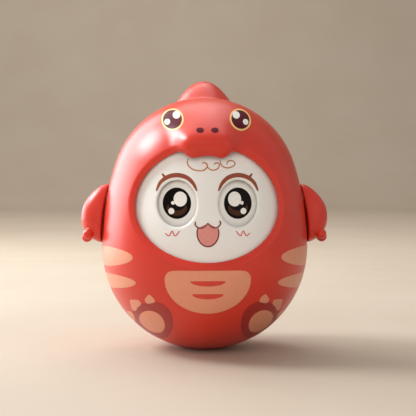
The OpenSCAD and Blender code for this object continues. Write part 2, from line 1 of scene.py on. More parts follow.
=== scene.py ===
"""Looks of a roly poly toy: a hooded figure with a white face, swinging eyes and turning arms.

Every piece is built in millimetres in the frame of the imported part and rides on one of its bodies.
The toy stands on z = 0, looks along -y, and its left hand is on the +x side.
"""
import logging
import math
from dataclasses import dataclass
from enum import Enum
from typing import Callable, Protocol, Sequence

import bmesh
import bpy
from mathutils import Matrix, Vector


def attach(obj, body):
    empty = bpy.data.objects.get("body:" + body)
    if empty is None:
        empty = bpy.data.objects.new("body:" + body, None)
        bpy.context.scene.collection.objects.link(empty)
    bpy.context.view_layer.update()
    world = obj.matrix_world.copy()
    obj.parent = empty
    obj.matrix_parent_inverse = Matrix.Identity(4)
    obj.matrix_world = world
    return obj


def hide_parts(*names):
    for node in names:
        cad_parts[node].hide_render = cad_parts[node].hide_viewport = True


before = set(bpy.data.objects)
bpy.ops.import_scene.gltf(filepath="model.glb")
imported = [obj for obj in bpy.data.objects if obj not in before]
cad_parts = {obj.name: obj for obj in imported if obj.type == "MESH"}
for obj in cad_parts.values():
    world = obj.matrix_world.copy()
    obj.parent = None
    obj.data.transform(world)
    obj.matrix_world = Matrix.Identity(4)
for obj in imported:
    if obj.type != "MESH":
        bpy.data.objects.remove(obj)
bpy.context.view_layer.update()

MM = 0.001
log = logging.getLogger("roly_poly_toy")

Color = tuple[float, float, float]
Flat = tuple[float, float]
Place = tuple[float, float, float]
Disc = tuple[float, float, float]
Oval = tuple[float, float, float, float]

MERGE = 1e-4
WELD = 1e-3
DEGENERATE = 1e-5
NOISE_LOW = 0.3
NOISE_HIGH = 0.7
SHELL_SHARP = 50.0
ARM_SHARP = 60.0


class Part(Enum):
    """Moving bodies of the toy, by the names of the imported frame."""

    SHELL = "shell"
    EYES = "eyes"
    CLAPPER = "clapper"
    ARM_LEFT = "arm_left"
    ARM_RIGHT = "arm_right"


class Side(Enum):
    """Side of the toy, as the sign of x."""

    LEFT = 1
    RIGHT = -1


class Slot(Enum):
    """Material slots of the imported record."""

    CORAL = "coral_shell"
    WHITE = "white_face"
    NYLON = "nylon"
    STEEL = "steel"
    IRON = "iron"


def ease(start: float, end: float, value: float) -> float:
    """Smooth step from 0 at start to 1 at end.

    Args:
        start: Value at which the step begins.
        end: Value at which the step is complete.
        value: Value to place on the step.

    Returns:
        The height of the step, from 0 to 1.
    """
    share = min(1.0, max(0.0, (value - start) / (end - start)))
    return share * share * (3 - 2 * share)


def srgb(red: int, green: int, blue: int) -> Color:
    """Linear colour of a screen colour.

    Args:
        red: Red from 0 to 255.
        green: Green from 0 to 255.
        blue: Blue from 0 to 255.

    Returns:
        The three linear values.
    """

    def linear(level: int) -> float:
        """Linear value of one channel."""
        share = level / 255
        return share / 12.92 if share <= 0.04045 else ((share + 0.055) / 1.055) ** 2.4

    return linear(red), linear(green), linear(blue)


class NodeDesk:
    """Short hand for the nodes of one procedural material."""

    def __init__(self, name: str) -> None:
        """Starts a material with its shader.

        Args:
            name: Name of the material.
        """
        self.material = bpy.data.materials.new(name)
        self.material.use_nodes = True
        self.tree = self.material.node_tree
        self.shader = self.tree.nodes["Principled BSDF"]
        self.coordinates = self.tree.nodes.new("ShaderNodeTexCoord").outputs["Object"]

    def noise(self, scale: float, detail: float) -> bpy.types.NodeSocket:
        """Noise over the piece.

        Args:
            scale: Waves in a metre.
            detail: Octaves of finer waves.

        Returns:
            The socket of the noise value.
        """
        node = self.tree.nodes.new("ShaderNodeTexNoise")
        node.inputs["Scale"].default_value = scale
        node.inputs["Detail"].default_value = detail
        self.tree.links.new(self.coordinates, node.inputs["Vector"])
        return node.outputs["Fac"]

    def span(self, value: bpy.types.NodeSocket, low: float, high: float) -> bpy.types.NodeSocket:
        """Noise stretched to a span.

        Args:
            value: Socket of the noise.
            low: Result where the noise is low.
            high: Result where the noise is high.

        Returns:
            The socket of the stretched value.
        """
        node = self.tree.nodes.new("ShaderNodeMapRange")
        node.inputs["From Min"].default_value = NOISE_LOW
        node.inputs["From Max"].default_value = NOISE_HIGH
        node.inputs["To Min"].default_value = low
        node.inputs["To Max"].default_value = high
        self.tree.links.new(value, node.inputs["Value"])
        return node.outputs["Result"]

    def tint(self, value: bpy.types.NodeSocket, first: Color, second: Color) -> None:
        """Colours the shader between two tones.

        Args:
            value: Socket of the share of the second tone.
            first: First tone.
            second: Second tone.
        """
        node = self.tree.nodes.new("ShaderNodeMix")
        node.data_type = "RGBA"
        node.inputs["A"].default_value = (*first, 1)
        node.inputs["B"].default_value = (*second, 1)
        self.tree.links.new(value, node.inputs["Factor"])
        self.tree.links.new(node.outputs["Result"], self.shader.inputs["Base Color"])

    def roughen(self, value: bpy.types.NodeSocket, low: float, high: float) -> None:
        """Roughness of the shader, between two values."""
        self.tree.links.new(self.span(value, low, high), self.shader.inputs["Roughness"])

    def emboss(self, value: bpy.types.NodeSocket, strength: float, depth: float) -> None:
        """Bump of the shader.

        Args:
            value: Socket of the height.
            strength: Share of the bump.
            depth: Height of the bump in millimetres.
        """
        node = self.tree.nodes.new("ShaderNodeBump")
        node.inputs["Strength"].default_value = strength
        node.inputs["Distance"].default_value = depth * MM
        self.tree.links.new(value, node.inputs["Height"])
        self.tree.links.new(node.outputs["Normal"], self.shader.inputs["Normal"])


class Finish(Protocol):
    """Anything that can make a material."""

    name: str

    def material(self) -> bpy.types.Material:
        """The finish as a material."""


@dataclass(frozen=True)
class MouldedPlastic:
    """Moulded plastic with a faint cloud in its tone and a fine skin from the mould."""

    name: str
    tone: Color
    deep_tone: Color
    gloss_low: float = 0.3
    gloss_high: float = 0.38
    cloud_scale: float = 55.0
    gloss_scale: float = 330.0
    skin_scale: float = 1900.0
    skin_depth: float = 0.02
    skin_strength: float = 0.12
    refraction: float = 1.5
    glow: float = 0.0
    glow_depth: float = 2.5
    glow_reach: Color = (1.0, 0.35, 0.25)

    def material(self) -> bpy.types.Material:
        """The plastic as a material.

        Returns:
            The material.
        """
        desk = NodeDesk(self.name)
        desk.tint(desk.span(desk.noise(self.cloud_scale, detail=3), 0, 1), self.tone, self.deep_tone)
        desk.roughen(desk.noise(self.gloss_scale, detail=4), self.gloss_low, self.gloss_high)
        desk.emboss(desk.noise(self.skin_scale, detail=2), self.skin_strength, self.skin_depth)
        desk.shader.inputs["IOR"].default_value = self.refraction
        desk.shader.inputs["Subsurface Weight"].default_value = self.glow
        desk.shader.inputs["Subsurface Scale"].default_value = self.glow_depth * MM
        desk.shader.inputs["Subsurface Radius"].default_value = self.glow_reach
        return desk.material


@dataclass(frozen=True)
class PrintInk:
    """Pad printed ink: an even film with a slight grain of its own."""

    name: str
    tone: Color
    deep_tone: Color
    gloss_low: float = 0.32
    gloss_high: float = 0.42
    shine: float = 0.4
    grain_scale: float = 700.0
    gloss_scale: float = 420.0
    film_scale: float = 3200.0
    film_strength: float = 0.1
    film_depth: float = 0.01

    def material(self) -> bpy.types.Material:
        """The ink as a material.

        Returns:
            The material.
        """
        desk = NodeDesk(self.name)
        desk.shader.inputs["Specular IOR Level"].default_value = self.shine
        desk.tint(desk.span(desk.noise(self.grain_scale, detail=4), 0, 1), self.tone, self.deep_tone)
        desk.roughen(desk.noise(self.gloss_scale, detail=3), self.gloss_low, self.gloss_high)
        desk.emboss(desk.noise(self.film_scale, detail=2), self.film_strength, self.film_depth)
        return desk.material


@dataclass(frozen=True)
class TurnedMetal:
    """Metal of screws, pins, rods and weights."""

    name: str
    tone: Color
    deep_tone: Color
    gloss_low: float
    gloss_high: float
    grain_scale: float
    grain_depth: float
    grain_strength: float = 0.4

    def material(self) -> bpy.types.Material:
        """The metal as a material.

        Returns:
            The material.
        """
        desk = NodeDesk(self.name)
        grain = desk.noise(self.grain_scale, detail=5)
        desk.tint(desk.span(grain, 0, 1), self.tone, self.deep_tone)
        desk.roughen(grain, self.gloss_low, self.gloss_high)
        desk.emboss(grain, self.grain_strength, self.grain_depth)
        desk.shader.inputs["Metallic"].default_value = 1
        return desk.material


@dataclass(frozen=True)
class Palette:
    """Finishes of the toy."""

    coral: MouldedPlastic = MouldedPlastic(
        "coral_plastic", srgb(214, 56, 38), srgb(208, 52, 35), 0.29, 0.33, glow=0.06)
    white: MouldedPlastic = MouldedPlastic(
        "white_plastic", srgb(238, 235, 230), srgb(236, 233, 228), 0.29, 0.31, skin_strength=0.05)
    nylon: MouldedPlastic = MouldedPlastic(
        "nylon_plastic", srgb(222, 216, 200), srgb(212, 205, 188), 0.4, 0.5)
    steel: TurnedMetal = TurnedMetal(
        "plated_steel", srgb(190, 193, 198), srgb(165, 168, 174), 0.22, 0.36, 900, 0.01)
    iron: TurnedMetal = TurnedMetal(
        "cast_iron", srgb(92, 93, 96), srgb(66, 66, 70), 0.5, 0.7, 420, 0.12)
    peach: PrintInk = PrintInk("peach_ink", srgb(226, 146, 114), srgb(223, 142, 110), shine=0.8)
    claret: PrintInk = PrintInk("claret_ink", srgb(166, 26, 20), srgb(159, 22, 17), shine=0.7)
    scarlet: PrintInk = PrintInk("scarlet_ink", srgb(214, 68, 54), srgb(206, 62, 50))
    maroon: PrintInk = PrintInk("maroon_ink", srgb(92, 14, 34), srgb(82, 11, 28), 0.3, 0.38, 0.1)
    gold: PrintInk = PrintInk("gold_ink", srgb(250, 206, 128), srgb(244, 198, 118))
    highlight: PrintInk = PrintInk("highlight_ink", srgb(244, 240, 236), srgb(238, 233, 228))
    iris: PrintInk = PrintInk("iris_ink", srgb(18, 11, 8), srgb(14, 9, 7), 0.28, 0.34, 0.12)
    iris_glow: PrintInk = PrintInk("iris_glow_ink", srgb(76, 46, 30), srgb(66, 40, 27), 0.28, 0.34, 0.12)
    lash: PrintInk = PrintInk("lash_ink", srgb(152, 74, 48), srgb(140, 66, 42))
    curl: PrintInk = PrintInk("curl_ink", srgb(192, 116, 42), srgb(176, 104, 38))
    mouth: PrintInk = PrintInk("mouth_ink", srgb(128, 38, 36), srgb(116, 32, 32))
    tongue: PrintInk = PrintInk("tongue_ink", srgb(224, 148, 140), srgb(216, 140, 132))
    blush: PrintInk = PrintInk("blush_ink", srgb(212, 96, 108), srgb(202, 88, 100))


PALETTE = Palette()
_made: dict[str, bpy.types.Material] = {}


def material_of(finish: Finish) -> bpy.types.Material:
    """Material of a finish, made once.

    Args:
        finish: The finish.

    Returns:
        The material.
    """
    if finish.name not in _made:
        _made[finish.name] = finish.material()
    return _made[finish.name]


def placed(name: str, bm: bmesh.types.BMesh) -> bpy.types.Object:
    """Object of a mesh in millimetres, put into the scene.

    Args:
        name: Name of the object.
        bm: The mesh, which is used up.

    Returns:
        The new object, at the origin.
    """
    bmesh.ops.scale(bm, vec=(MM, MM, MM), verts=bm.verts)
    mesh = bpy.data.meshes.new(name)
    bm.to_mesh(mesh)
    bm.free()
    item = bpy.data.objects.new(name, mesh)
    bpy.context.scene.collection.objects.link(item)
    return item


@dataclass(frozen=True)
class Dress:
    """How a built mesh becomes a piece of the toy."""

    finish: Finish
    part: Part
    slot: Slot | None = None
    stands_for: tuple[str, ...] = ()
    sharp_angle: float = 35.0

    def wear(self, name: str, bm: bmesh.types.BMesh) -> bpy.types.Object:
        """Turns a mesh in millimetres into a piece that rides on its body."""
        return self.dress(placed(name, bm))

    def dress(self, piece: bpy.types.Object) -> bpy.types.Object:
        """Gives an object its finish and its body.

        Args:
            piece: Object at the origin, with its place in its mesh.

        Returns:
            The same object.
        """
        piece.data.polygons.foreach_set("use_smooth", [True] * len(piece.data.polygons))
        piece.data.set_sharp_from_angle(angle=math.radians(self.sharp_angle))
        piece.data.materials.clear()
        piece.data.materials.append(material_of(self.finish))
        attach(piece, self.part.value)
        if self.stands_for:
            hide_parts(*self.stands_for)
        log.info("%s: %d faces", piece.name, len(piece.data.polygons))
        return piece


def sheet(columns: int, rows: int, place: Callable[[int, int], Vector]) -> bmesh.types.BMesh:
    """Grid of faces with every crossing put in its place, and what meets merged.

    Args:
        columns: Faces along the grid's x.
        rows: Faces along the grid's y.
        place: Place of a crossing, from its column and row.

    Returns:
        The mesh.
    """
    bm = bmesh.new()
    bmesh.ops.create_grid(bm, x_segments=columns, y_segments=rows, size=1)
    for vert in bm.verts:
        column = round((vert.co.x + 1) / 2 * columns)
        row = round((vert.co.y + 1) / 2 * rows)
        vert.co = place(column, row)
    bmesh.ops.remove_doubles(bm, verts=bm.verts, dist=MERGE)
    bmesh.ops.dissolve_degenerate(bm, edges=bm.edges, dist=DEGENERATE)
    return bm


def outwards(bm: bmesh.types.BMesh) -> bmesh.types.BMesh:
    """Turns the faces of a closed mesh outwards and returns it."""
    bmesh.ops.recalc_face_normals(bm, faces=bm.faces)
    return bm


@dataclass(frozen=True)
class BodyForm:
    """Round body: a bowl, a long side arc and a crown, each tangent to the next."""

    bowl_radius: float = 42.7
    crown_radius: float = 39.0
    side_radius: float = 112.0
    height: float = 104.3
    flat_radius: float = 6.0
    wall: float = 2.4

    @property
    def bowl_z(self) -> float:
        """Height of the bowl's centre."""
        return math.sqrt(self.bowl_radius**2 - self.flat_radius**2)

    @property
    def crown_z(self) -> float:
        """Height of the crown's centre."""
        return self.height - self.crown_radius

    @property
    def side_z(self) -> float:
        """Height of the side arc's centre.

        Returns:
            The height.
        """
        rise = self.crown_z - self.bowl_z
        reach = 2 * self.side_radius - self.bowl_radius - self.crown_radius
        lean = (self.crown_radius - self.bowl_radius) * reach / rise
        return (lean + self.bowl_z + self.crown_z) / 2

    @property
    def side_set_back(self) -> float:
        """Distance of the side arc's centre beyond the axis."""
        return math.sqrt((self.side_radius - self.bowl_radius) ** 2 - (self.side_z - self.bowl_z) ** 2)

    @property
    def bowl_end(self) -> float:
        """Rise of the normal where the bowl meets the side arc."""
        return math.asin((self.bowl_z - self.side_z) / (self.side_radius - self.bowl_radius))

    @property
    def crown_start(self) -> float:
        """Rise of the normal where the side arc meets the crown."""
        return math.asin((self.crown_z - self.side_z) / (self.side_radius - self.crown_radius))

    def profile_point(self, rise: float, inset: float = 0.0) -> Flat:
        """Radius and height of the profile where its normal has a rise.

        Args:
            rise: Angle of the normal above the level, in radians.
            inset: Distance that the profile is taken in.

        Returns:
            Radius and height.
        """
        if rise < self.bowl_end:
            radius, back, z = self.bowl_radius - inset, 0.0, self.bowl_z
        elif rise < self.crown_start:
            radius, back, z = self.side_radius - inset, self.side_set_back, self.side_z
        else:
            radius, back, z = self.crown_radius - inset, 0.0, self.crown_z
        return radius * math.cos(rise) - back, z + radius * math.sin(rise)

    def radius_at(self, z: float, inset: float = 0.0) -> float:
        """Radius of the body at a height.

        Args:
            z: Height above the floor.
            inset: Distance that the body is taken in.

        Returns:
            The radius.
        """
        bowl, side, crown = (r - inset for r in (self.bowl_radius, self.side_radius, self.crown_radius))
        if z < self.bowl_z + bowl * math.sin(self.bowl_end):
            return math.sqrt(max(0.0, bowl**2 - (z - self.bowl_z) ** 2))
        if z < self.crown_z + crown * math.sin(self.crown_start):
            return math.sqrt(side**2 - (z - self.side_z) ** 2) - self.side_set_back
        return math.sqrt(max(0.0, crown**2 - (z - self.crown_z) ** 2))

    def rises(self, bowl_steps: int, side_steps: int, crown_steps: int) -> list[float]:
        """Rises of the normal from the base to the top, evenly over each arc.

        Args:
            bowl_steps: Steps over the bowl.
            side_steps: Steps over the side arc.
            crown_steps: Steps over the crown.

        Returns:
            The angles, in radians.
        """
        ends = (-math.pi / 2, self.bowl_end, self.crown_start, math.pi / 2)
        found: list[float] = []
        for start, end, steps in zip(ends, ends[1:], (bowl_steps, side_steps, crown_steps)):
            found += [start + (end - start) * k / steps for k in range(steps)]
        return [*found, math.pi / 2]


@dataclass(frozen=True)
class HoodForm:
    """Front of the hood: the face opening with its hanging lip, and the snout above it."""

    body: BodyForm = BodyForm()
    half_width: float = 28.2
    middle_z: float = 60.2
    reach_up: float = 23.2
    reach_down: float = 21.4
    lip_drop: float = 4.0
    lip_half_width: float = 5.4
    lip_corner: float = 6.2
    lip_wave: float = 0.4
    rim_width: float = 2.7
    rim_depth: float = 2.1
    rim_power: float = 1.3
    snout_reach: float = 5.2
    snout_half_width: float = 7.2
    snout_slope: float = 7.6
    snout_spread: float = 12.0
    snout_z: float = 86.3
    snout_top_z: float = 101.0
    snout_lip_share: float = 0.28
    snout_under: float = 7.6
    snout_blend: float = 1.1

    def lip(self, x: float) -> float:
        """How far the lip hangs into the opening, in two lobes."""
        hang = self.lip_drop * (1 - ease(self.lip_half_width, self.lip_half_width + self.lip_corner, abs(x)))
        return hang - self.lip_wave * (1 - ease(0, self.lip_half_width, abs(x)))

    def edge(self, turn: float) -> Vector:
        """Edge of the opening in one direction, seen from the front.

        Args:
            turn: Direction from the opening's middle, in radians.

        Returns:
            The place as x and z.
        """
        reach = self.reach_up if math.sin(turn) > 0 else self.reach_down
        span = 1 / math.hypot(math.cos(turn) / self.half_width, math.sin(turn) / reach)
        x = span * math.cos(turn)
        drop = self.lip(x) if math.sin(turn) > 0 else 0.0
        return Vector((x, self.middle_z + span * math.sin(turn) - drop))

    def ridge(self, x: float, z: float) -> float:
        """How far the snout stands out: a ridge that widens and runs out upwards, and ends at the face.

        Args:
            x: Distance from the middle.
            z: Height.

        Returns:
            The reach in front of the hood.
        """
        rise = ease(self.snout_z, self.snout_top_z, z)
        lip_z = self.snout_z - self.snout_under
        lip_reach = self.snout_lip_share * ease(self.middle_z, lip_z, z)
        reach = lip_reach + (1 - self.snout_lip_share) * ease(lip_z, self.snout_z, z)
        fan = 1 - (1 - rise) ** 3
        half = self.snout_half_width * (1 - fan)
        across = 1 - ease(half, half + self.snout_slope + self.snout_spread * fan, abs(x))
        return self.snout_reach * across * (1 - rise) * reach

    def snout(self, x: float, z: float) -> float:
        """The ridge with its edges blended, as the mean of its heights round a place."""
        steps = (-self.snout_blend, 0.0, self.snout_blend)
        return sum(self.ridge(x + dx, z + dz) for dx in steps for dz in steps) / len(steps) ** 2

    def front_y(self, x: float, z: float, inset: float = 0.0) -> float:
        """Depth of the hood's front at a place seen from the front."""
        dome = math.sqrt(max(0.0, self.body.radius_at(z, inset) ** 2 - x * x))
        return -dome - self.snout(x, z)


class Surface(Protocol):
    """A surface that prints lie on."""

    def point(self, u: float, v: float, lift: float) -> Vector:
        """Place of a flat point of a print, lifted off the surface."""


def lifted(at: Callable[[float, float], Vector], u: float, v: float, lift: float) -> Vector:
    """Point of a surface, moved out along its normal.

    Args:
        at: Place on the surface of two flat measures.
        u: First measure.
        v: Second measure.
        lift: Distance out of the surface.

    Returns:
        The place.
    """
    step = 0.02
    across = at(u + step, v) - at(u - step, v)
    along = at(u, v + step) - at(u, v - step)
    return at(u, v) + across.cross(along).normalized() * lift


@dataclass(frozen=True)
class HoodFront:
    """Front of the hood, seen from the front."""

    hood: HoodForm = HoodForm()

    def point(self, u: float, v: float, lift: float) -> Vector:
        """Place at x = u and z = v."""
        return lifted(lambda x, z: Vector((x, self.hood.front_y(x, z), z)), u, v, lift)


@dataclass(frozen=True)
class DomeFront:
    """Front of the body taken in by a distance, seen from the front."""

    inset: float
    body: BodyForm = BodyForm()

    def depth(self, x: float, z: float) -> float:
        """Depth y of the dome."""
        return -math.sqrt(max(0.0, self.body.radius_at(z, self.inset) ** 2 - x * x))

    def point(self, u: float, v: float, lift: float) -> Vector:
        """Place at x = u and z = v."""
        return lifted(lambda x, z: Vector((x, self.depth(x, z), z)), u, v, lift)


@dataclass(frozen=True)
class BodySide:
    """Side of the body: u is the turn from the front in degrees, v the height."""

    side: Side
    body: BodyForm = BodyForm()

    def at(self, u: float, v: float) -> Vector:
        """Place on the body."""
        radius, turn = self.body.radius_at(v), math.radians(u) * self.side.value
        return Vector((radius * math.sin(turn), -radius * math.cos(turn), v))

    def point(self, u: float, v: float, lift: float) -> Vector:
        """Place at a turn and a height."""
        return lifted(self.at, u, v, lift * self.side.value)


@dataclass(frozen=True)
class BowlPatch:
    """Patch of the bowl about one direction: u runs outwards to the side, v upwards."""

    side: Side
    turn: float = 44.0
    rise: float = -43.0
    body: BodyForm = BodyForm()

    def point(self, u: float, v: float, lift: float) -> Vector:
        """Place on the bowl.

        Args:
            u: Distance outwards over the bowl.
            v: Distance upwards over the bowl.
            lift: Distance out of the bowl.

        Returns:
            The place.
        """
        turn, rise = math.radians(self.turn), math.radians(self.rise)
        out = Vector((math.sin(turn) * math.cos(rise), -math.cos(turn) * math.cos(rise), math.sin(rise)))
        east = Vector((math.cos(turn), math.sin(turn), 0))
        north = east.cross(out) * -1
        angle = math.hypot(u, v) / self.body.bowl_radius
        way = (east * u + north * v).normalized() if angle > 0 else east
        normal = out * math.cos(angle) + way * math.sin(angle)
        place = normal * (self.body.bowl_radius + lift) + Vector((0, 0, self.body.bowl_z))
        return Vector((place.x * self.side.value, place.y, place.z))


@dataclass(frozen=True)
class EyeBall:
    """Sphere of the eye plate, seen from the front."""

    radius: float = 36.346
    center_z: float = 55.2

    def point(self, u: float, v: float, lift: float) -> Vector:
        """Place on the eye plate.

        Args:
            u: Place across, as x.
            v: Height, as z.
            lift: Distance out of the plate.

        Returns:
            The place.
        """
        rise = v - self.center_z
        normal = Vector((u, -math.sqrt(self.radius**2 - u * u - rise * rise), rise)).normalized()
        return normal * (self.radius + lift) + Vector((0, 0, self.center_z))


@dataclass(frozen=True)
class Arc:
    """Stretch of an oval, in a flat print."""

    x: float
    z: float
    half_x: float
    half_z: float
    start: float = 0.0
    end: float = 360.0
    tilt: float = 0.0
    steps: int = 40

    def points(self) -> list[Vector]:
        """Points from the start up to the end, which the next arc begins.

        Returns:
            The points.
        """
        found = []
        for k in range(self.steps):
            turn = math.radians(self.start + (self.end - self.start) * k / self.steps)
            along, across = self.half_x * math.cos(turn), self.half_z * math.sin(turn)
            lean = math.radians(self.tilt)
            found.append(Vector((
                self.x + along * math.cos(lean) - across * math.sin(lean),
                self.z + along * math.sin(lean) + across * math.cos(lean))))
        return found


INK_LIFT = 0.05
INK_SINK = 0.25


def draped(flat: bmesh.types.BMesh, surface: Surface, lift: float) -> bmesh.types.BMesh:
    """Gives a flat print its film and lays it on a surface.

    Args:
        flat: Flat mesh, with x and z as the print's measures.
        surface: The surface that carries the print.
        lift: Height of the film's face over the surface.

    Returns:
        The same mesh, closed and in place.
    """
    grown = bmesh.ops.extrude_face_region(flat, geom=flat.faces[:], use_keep_orig=True)
    lower = {item for item in grown["geom"] if isinstance(item, bmesh.types.BMVert)}
    for vert in flat.verts:
        vert.co = surface.point(vert.co.x, vert.co.z, -INK_SINK if vert in lower else lift)
    return outwards(flat)


@dataclass(frozen=True)
class Blob:
    """Filled print with an outline of arcs, which its middle can see all round."""

    name: str
    ink: PrintInk
    arcs: tuple[Arc, ...]
    layer: int = 1
    rings: int = 8
    middle: Flat | None = None

    def build(self, surface: Surface) -> bmesh.types.BMesh:
        """Mesh of the print on its surface.

        Args:
            surface: The surface that carries the print.

        Returns:
            The mesh.
        """
        outline = [point for arc in self.arcs for point in arc.points()]
        center = Vector(self.middle) if self.middle else sum(outline, Vector((0, 0))) / len(outline)

        def place(column: int, row: int) -> Vector:
            """Flat place of a crossing of the fan."""
            flat = center.lerp(outline[column % len(outline)], row / self.rings)
            return Vector((flat.x, 0, flat.y))

        return draped(sheet(len(outline), self.rings, place), surface, INK_LIFT * self.layer)


def smooth_point(points: Sequence[Vector], share: float) -> Vector:
    """Point of the smooth curve through a list of points.

    Args:
        points: The points, in order.
        share: Share of the way, from 0 to 1.

    Returns:
        The point.
    """
    spot = min(max(share, 0.0), 1.0) * (len(points) - 1)
    index = min(int(spot), len(points) - 2)
    t = spot - index
    p0, p1, p2, p3 = (points[min(max(index + k, 0), len(points) - 1)] for k in (-1, 0, 1, 2))
    return 0.5 * (2 * p1 + (p2 - p0) * t + (2 * p0 - 5 * p1 + 4 * p2 - p3) * t**2
                  + (3 * p1 - p0 - 3 * p2 + p3) * t**3)


@dataclass(frozen=True)
class Stroke:
    """Drawn line through a few points, thicker in the middle."""

    name: str
    ink: PrintInk
    through: tuple[Flat, ...]
    width: float
    tip_width: float = 0.0
    fullness: float = 2.0
    layer: int = 1
    steps_each: int = 8
    look_ahead: float = 0.002

    def half_width(self, share: float) -> float:
        """Half of the line's width at a share of its way."""
        swell = math.sqrt(max(0.0, 1 - abs(2 * share - 1) ** self.fullness))
        return (self.tip_width + (self.width - self.tip_width) * swell) / 2

    def build(self, surface: Surface) -> bmesh.types.BMesh:
        """Mesh of the line on its surface.

        Args:
            surface: The surface that carries the line.

        Returns:
            The mesh.
        """
        points = [Vector(point) for point in self.through]
        steps = self.steps_each * (len(points) - 1)

        def place(column: int, row: int) -> Vector:
            """Flat place of a crossing of the ribbon.

            Args:
                column: Step along the line.
                row: Step across the line.

            Returns:
                The place.
            """
            share = column / steps
            ahead = smooth_point(points, share + self.look_ahead)
            behind = smooth_point(points, share - self.look_ahead)
            way = ahead - behind
            across = Vector((-way.y, way.x)).normalized()
            flat = smooth_point(points, share) + across * self.half_width(share) * (row - 1)
            return Vector((flat.x, 0, flat.y))

        return draped(sheet(steps, 2, place), surface, INK_LIFT * self.layer)


@dataclass
class FrontShell:
    """Front half of the hood: skin, rolled rim round the face, and inner wall."""

    hood: HoodForm = HoodForm()
    outer_rings: int = 64
    rim_rings: int = 14
    inner_rings: int = 18
    bowl_steps: int = 58
    side_steps: int = 32
    crown_steps: int = 46
    seam_width: float = 0.2
    seam_depth: float = 0.16

    def outline(self, inset: float) -> list[Vector]:
        """Closed outline of the body on the parting plane.

        Args:
            inset: Distance that the outline is taken in.

        Returns:
            The points as x and z.
        """
        body = self.hood.body
        rises = body.rises(self.bowl_steps, self.side_steps, self.crown_steps)
        half = [body.profile_point(rise, inset) for rise in rises]
        back = [(-r, z) for r, z in half[-2:0:-1]]
        return [Vector(point) for point in half + back]

    def spread(self, edge: Vector, rim: Vector, share: float) -> Vector:
        """Point between the opening and the outline, spaced evenly over the dome.

        Args:
            edge: Point of the opening.
            rim: Point of the outline.
            share: Share of the way to the outline.

        Returns:
            The point as x and z.
        """
        middle = Vector((0, self.hood.middle_z))
        near = (edge - middle).length / (rim - middle).length
        start = math.asin(min(1.0, near))
        place = math.sin(start + (math.pi / 2 - start) * share)
        return edge.lerp(rim, (place - near) / (1 - near))

    def build(self) -> bmesh.types.BMesh:
        """Mesh of the front shell: rings round the opening, lofted over the skin, the rim and the inside.

        Returns:
            The mesh.
        """
        hood = self.hood
        wall = hood.body.wall
        out, inner = self.outline(0), self.outline(wall)
        columns = len(out)
        rows = self.outer_rings + self.rim_rings + self.inner_rings + 1

        def place(column: int, row: int) -> Vector:
            """Place of one crossing of the loft.

            Args:
                column: Step round the loft.
                row: Ring of the loft.

            Returns:
                The place.
            """
            rim, back = out[column % columns], inner[column % columns]
            turn = math.atan2(rim.y - hood.middle_z, rim.x)
            lip = hood.edge(turn)
            edge = lip + hood.rim_width * Vector((math.cos(turn), math.sin(turn)))
            row = row % rows
            if row <= self.outer_rings:
                at = self.spread(edge, rim, 1 - row / self.outer_rings)
                y = 0.0 if row == 0 else hood.front_y(at.x, at.y)
            elif row <= self.outer_rings + self.rim_rings:
                roll = (row - self.outer_rings) / self.rim_rings * math.pi / 2
                bend = 2 / hood.rim_power
                at = edge.lerp(lip, max(0.0, math.sin(roll)) ** bend)
                y = hood.front_y(at.x, at.y) + hood.rim_depth * (1 - max(0.0, math.cos(roll)) ** bend)
            else:
                step = (row - self.outer_rings - self.rim_rings - 1) / (self.inner_rings - 1)
                at = self.spread(lip, back, step)
                y = 0.0 if step == 1 else hood.front_y(at.x, at.y, wall)
            return Vector((at.x, y, max(0.0, at.y)))

        bm = sheet(columns, rows, place)
        seam(bm, hood.body, -self.seam_width, self.seam_depth)
        return outwards(bm)

    def dress(self) -> bpy.types.Object:
        """The front shell as a piece."""
        dress = Dress(PALETTE.coral, Part.SHELL, Slot.CORAL, ("front_shell",), SHELL_SHARP)
        return dress.wear("hood_front", self.build())


def seam(bm: bmesh.types.BMesh, body: BodyForm, reach: float, depth: float) -> None:
    """Eases the outer edge of a shell on the parting plane, so that two shells leave a fine line.

    Args:
        bm: Mesh of the shell.
        body: Form of the body.
        reach: Distance of the edge's start from the parting plane, along y.
        depth: How far the edge is taken in.
    """
    bmesh.ops.bisect_plane(
        bm, geom=bm.verts[:] + bm.edges[:] + bm.faces[:], plane_co=(0, reach, 0), plane_no=(0, 1, 0))
    base_z, skin = 0.5, 0.3
    for vert in bm.verts:
        radius = math.hypot(vert.co.x, vert.co.y)
        if abs(vert.co.y) < MERGE and vert.co.z > base_z and radius > body.radius_at(vert.co.z) - skin:
            middle = Vector((0, 0, min(max(vert.co.z, body.bowl_z), body.crown_z)))
            vert.co -= (vert.co - middle).normalized() * depth


@dataclass(frozen=True)
class Spike:
    """Rounded spike of the crest, along the body's normal."""

    rise: float
    height: float
    tip_radius: float
    fillet: float = 1.0

    def raise_point(self, place: Vector, body: BodyForm) -> Vector:
        """Moves a point of the rear skin out onto the spike, with a soft foot.

        Args:
            place: Point of the skin.
            body: Form of the body.

        Returns:
            The moved point.
        """
        angle = math.radians(self.rise)
        radius, z = body.profile_point(angle)
        axis = Vector((0, math.cos(angle), math.sin(angle)))
        offset = place - Vector((0, radius, z))
        along = offset.dot(axis)
        if along < -2 * self.height:
            return place
        away = (offset - axis * along).length
        top = self.height - away**2 / (2 * self.tip_radius)
        blend = max(self.fillet - abs(top - along), 0) / self.fillet
        return place + axis * (max(top, along) + blend**2 * self.fillet / 4 - along)


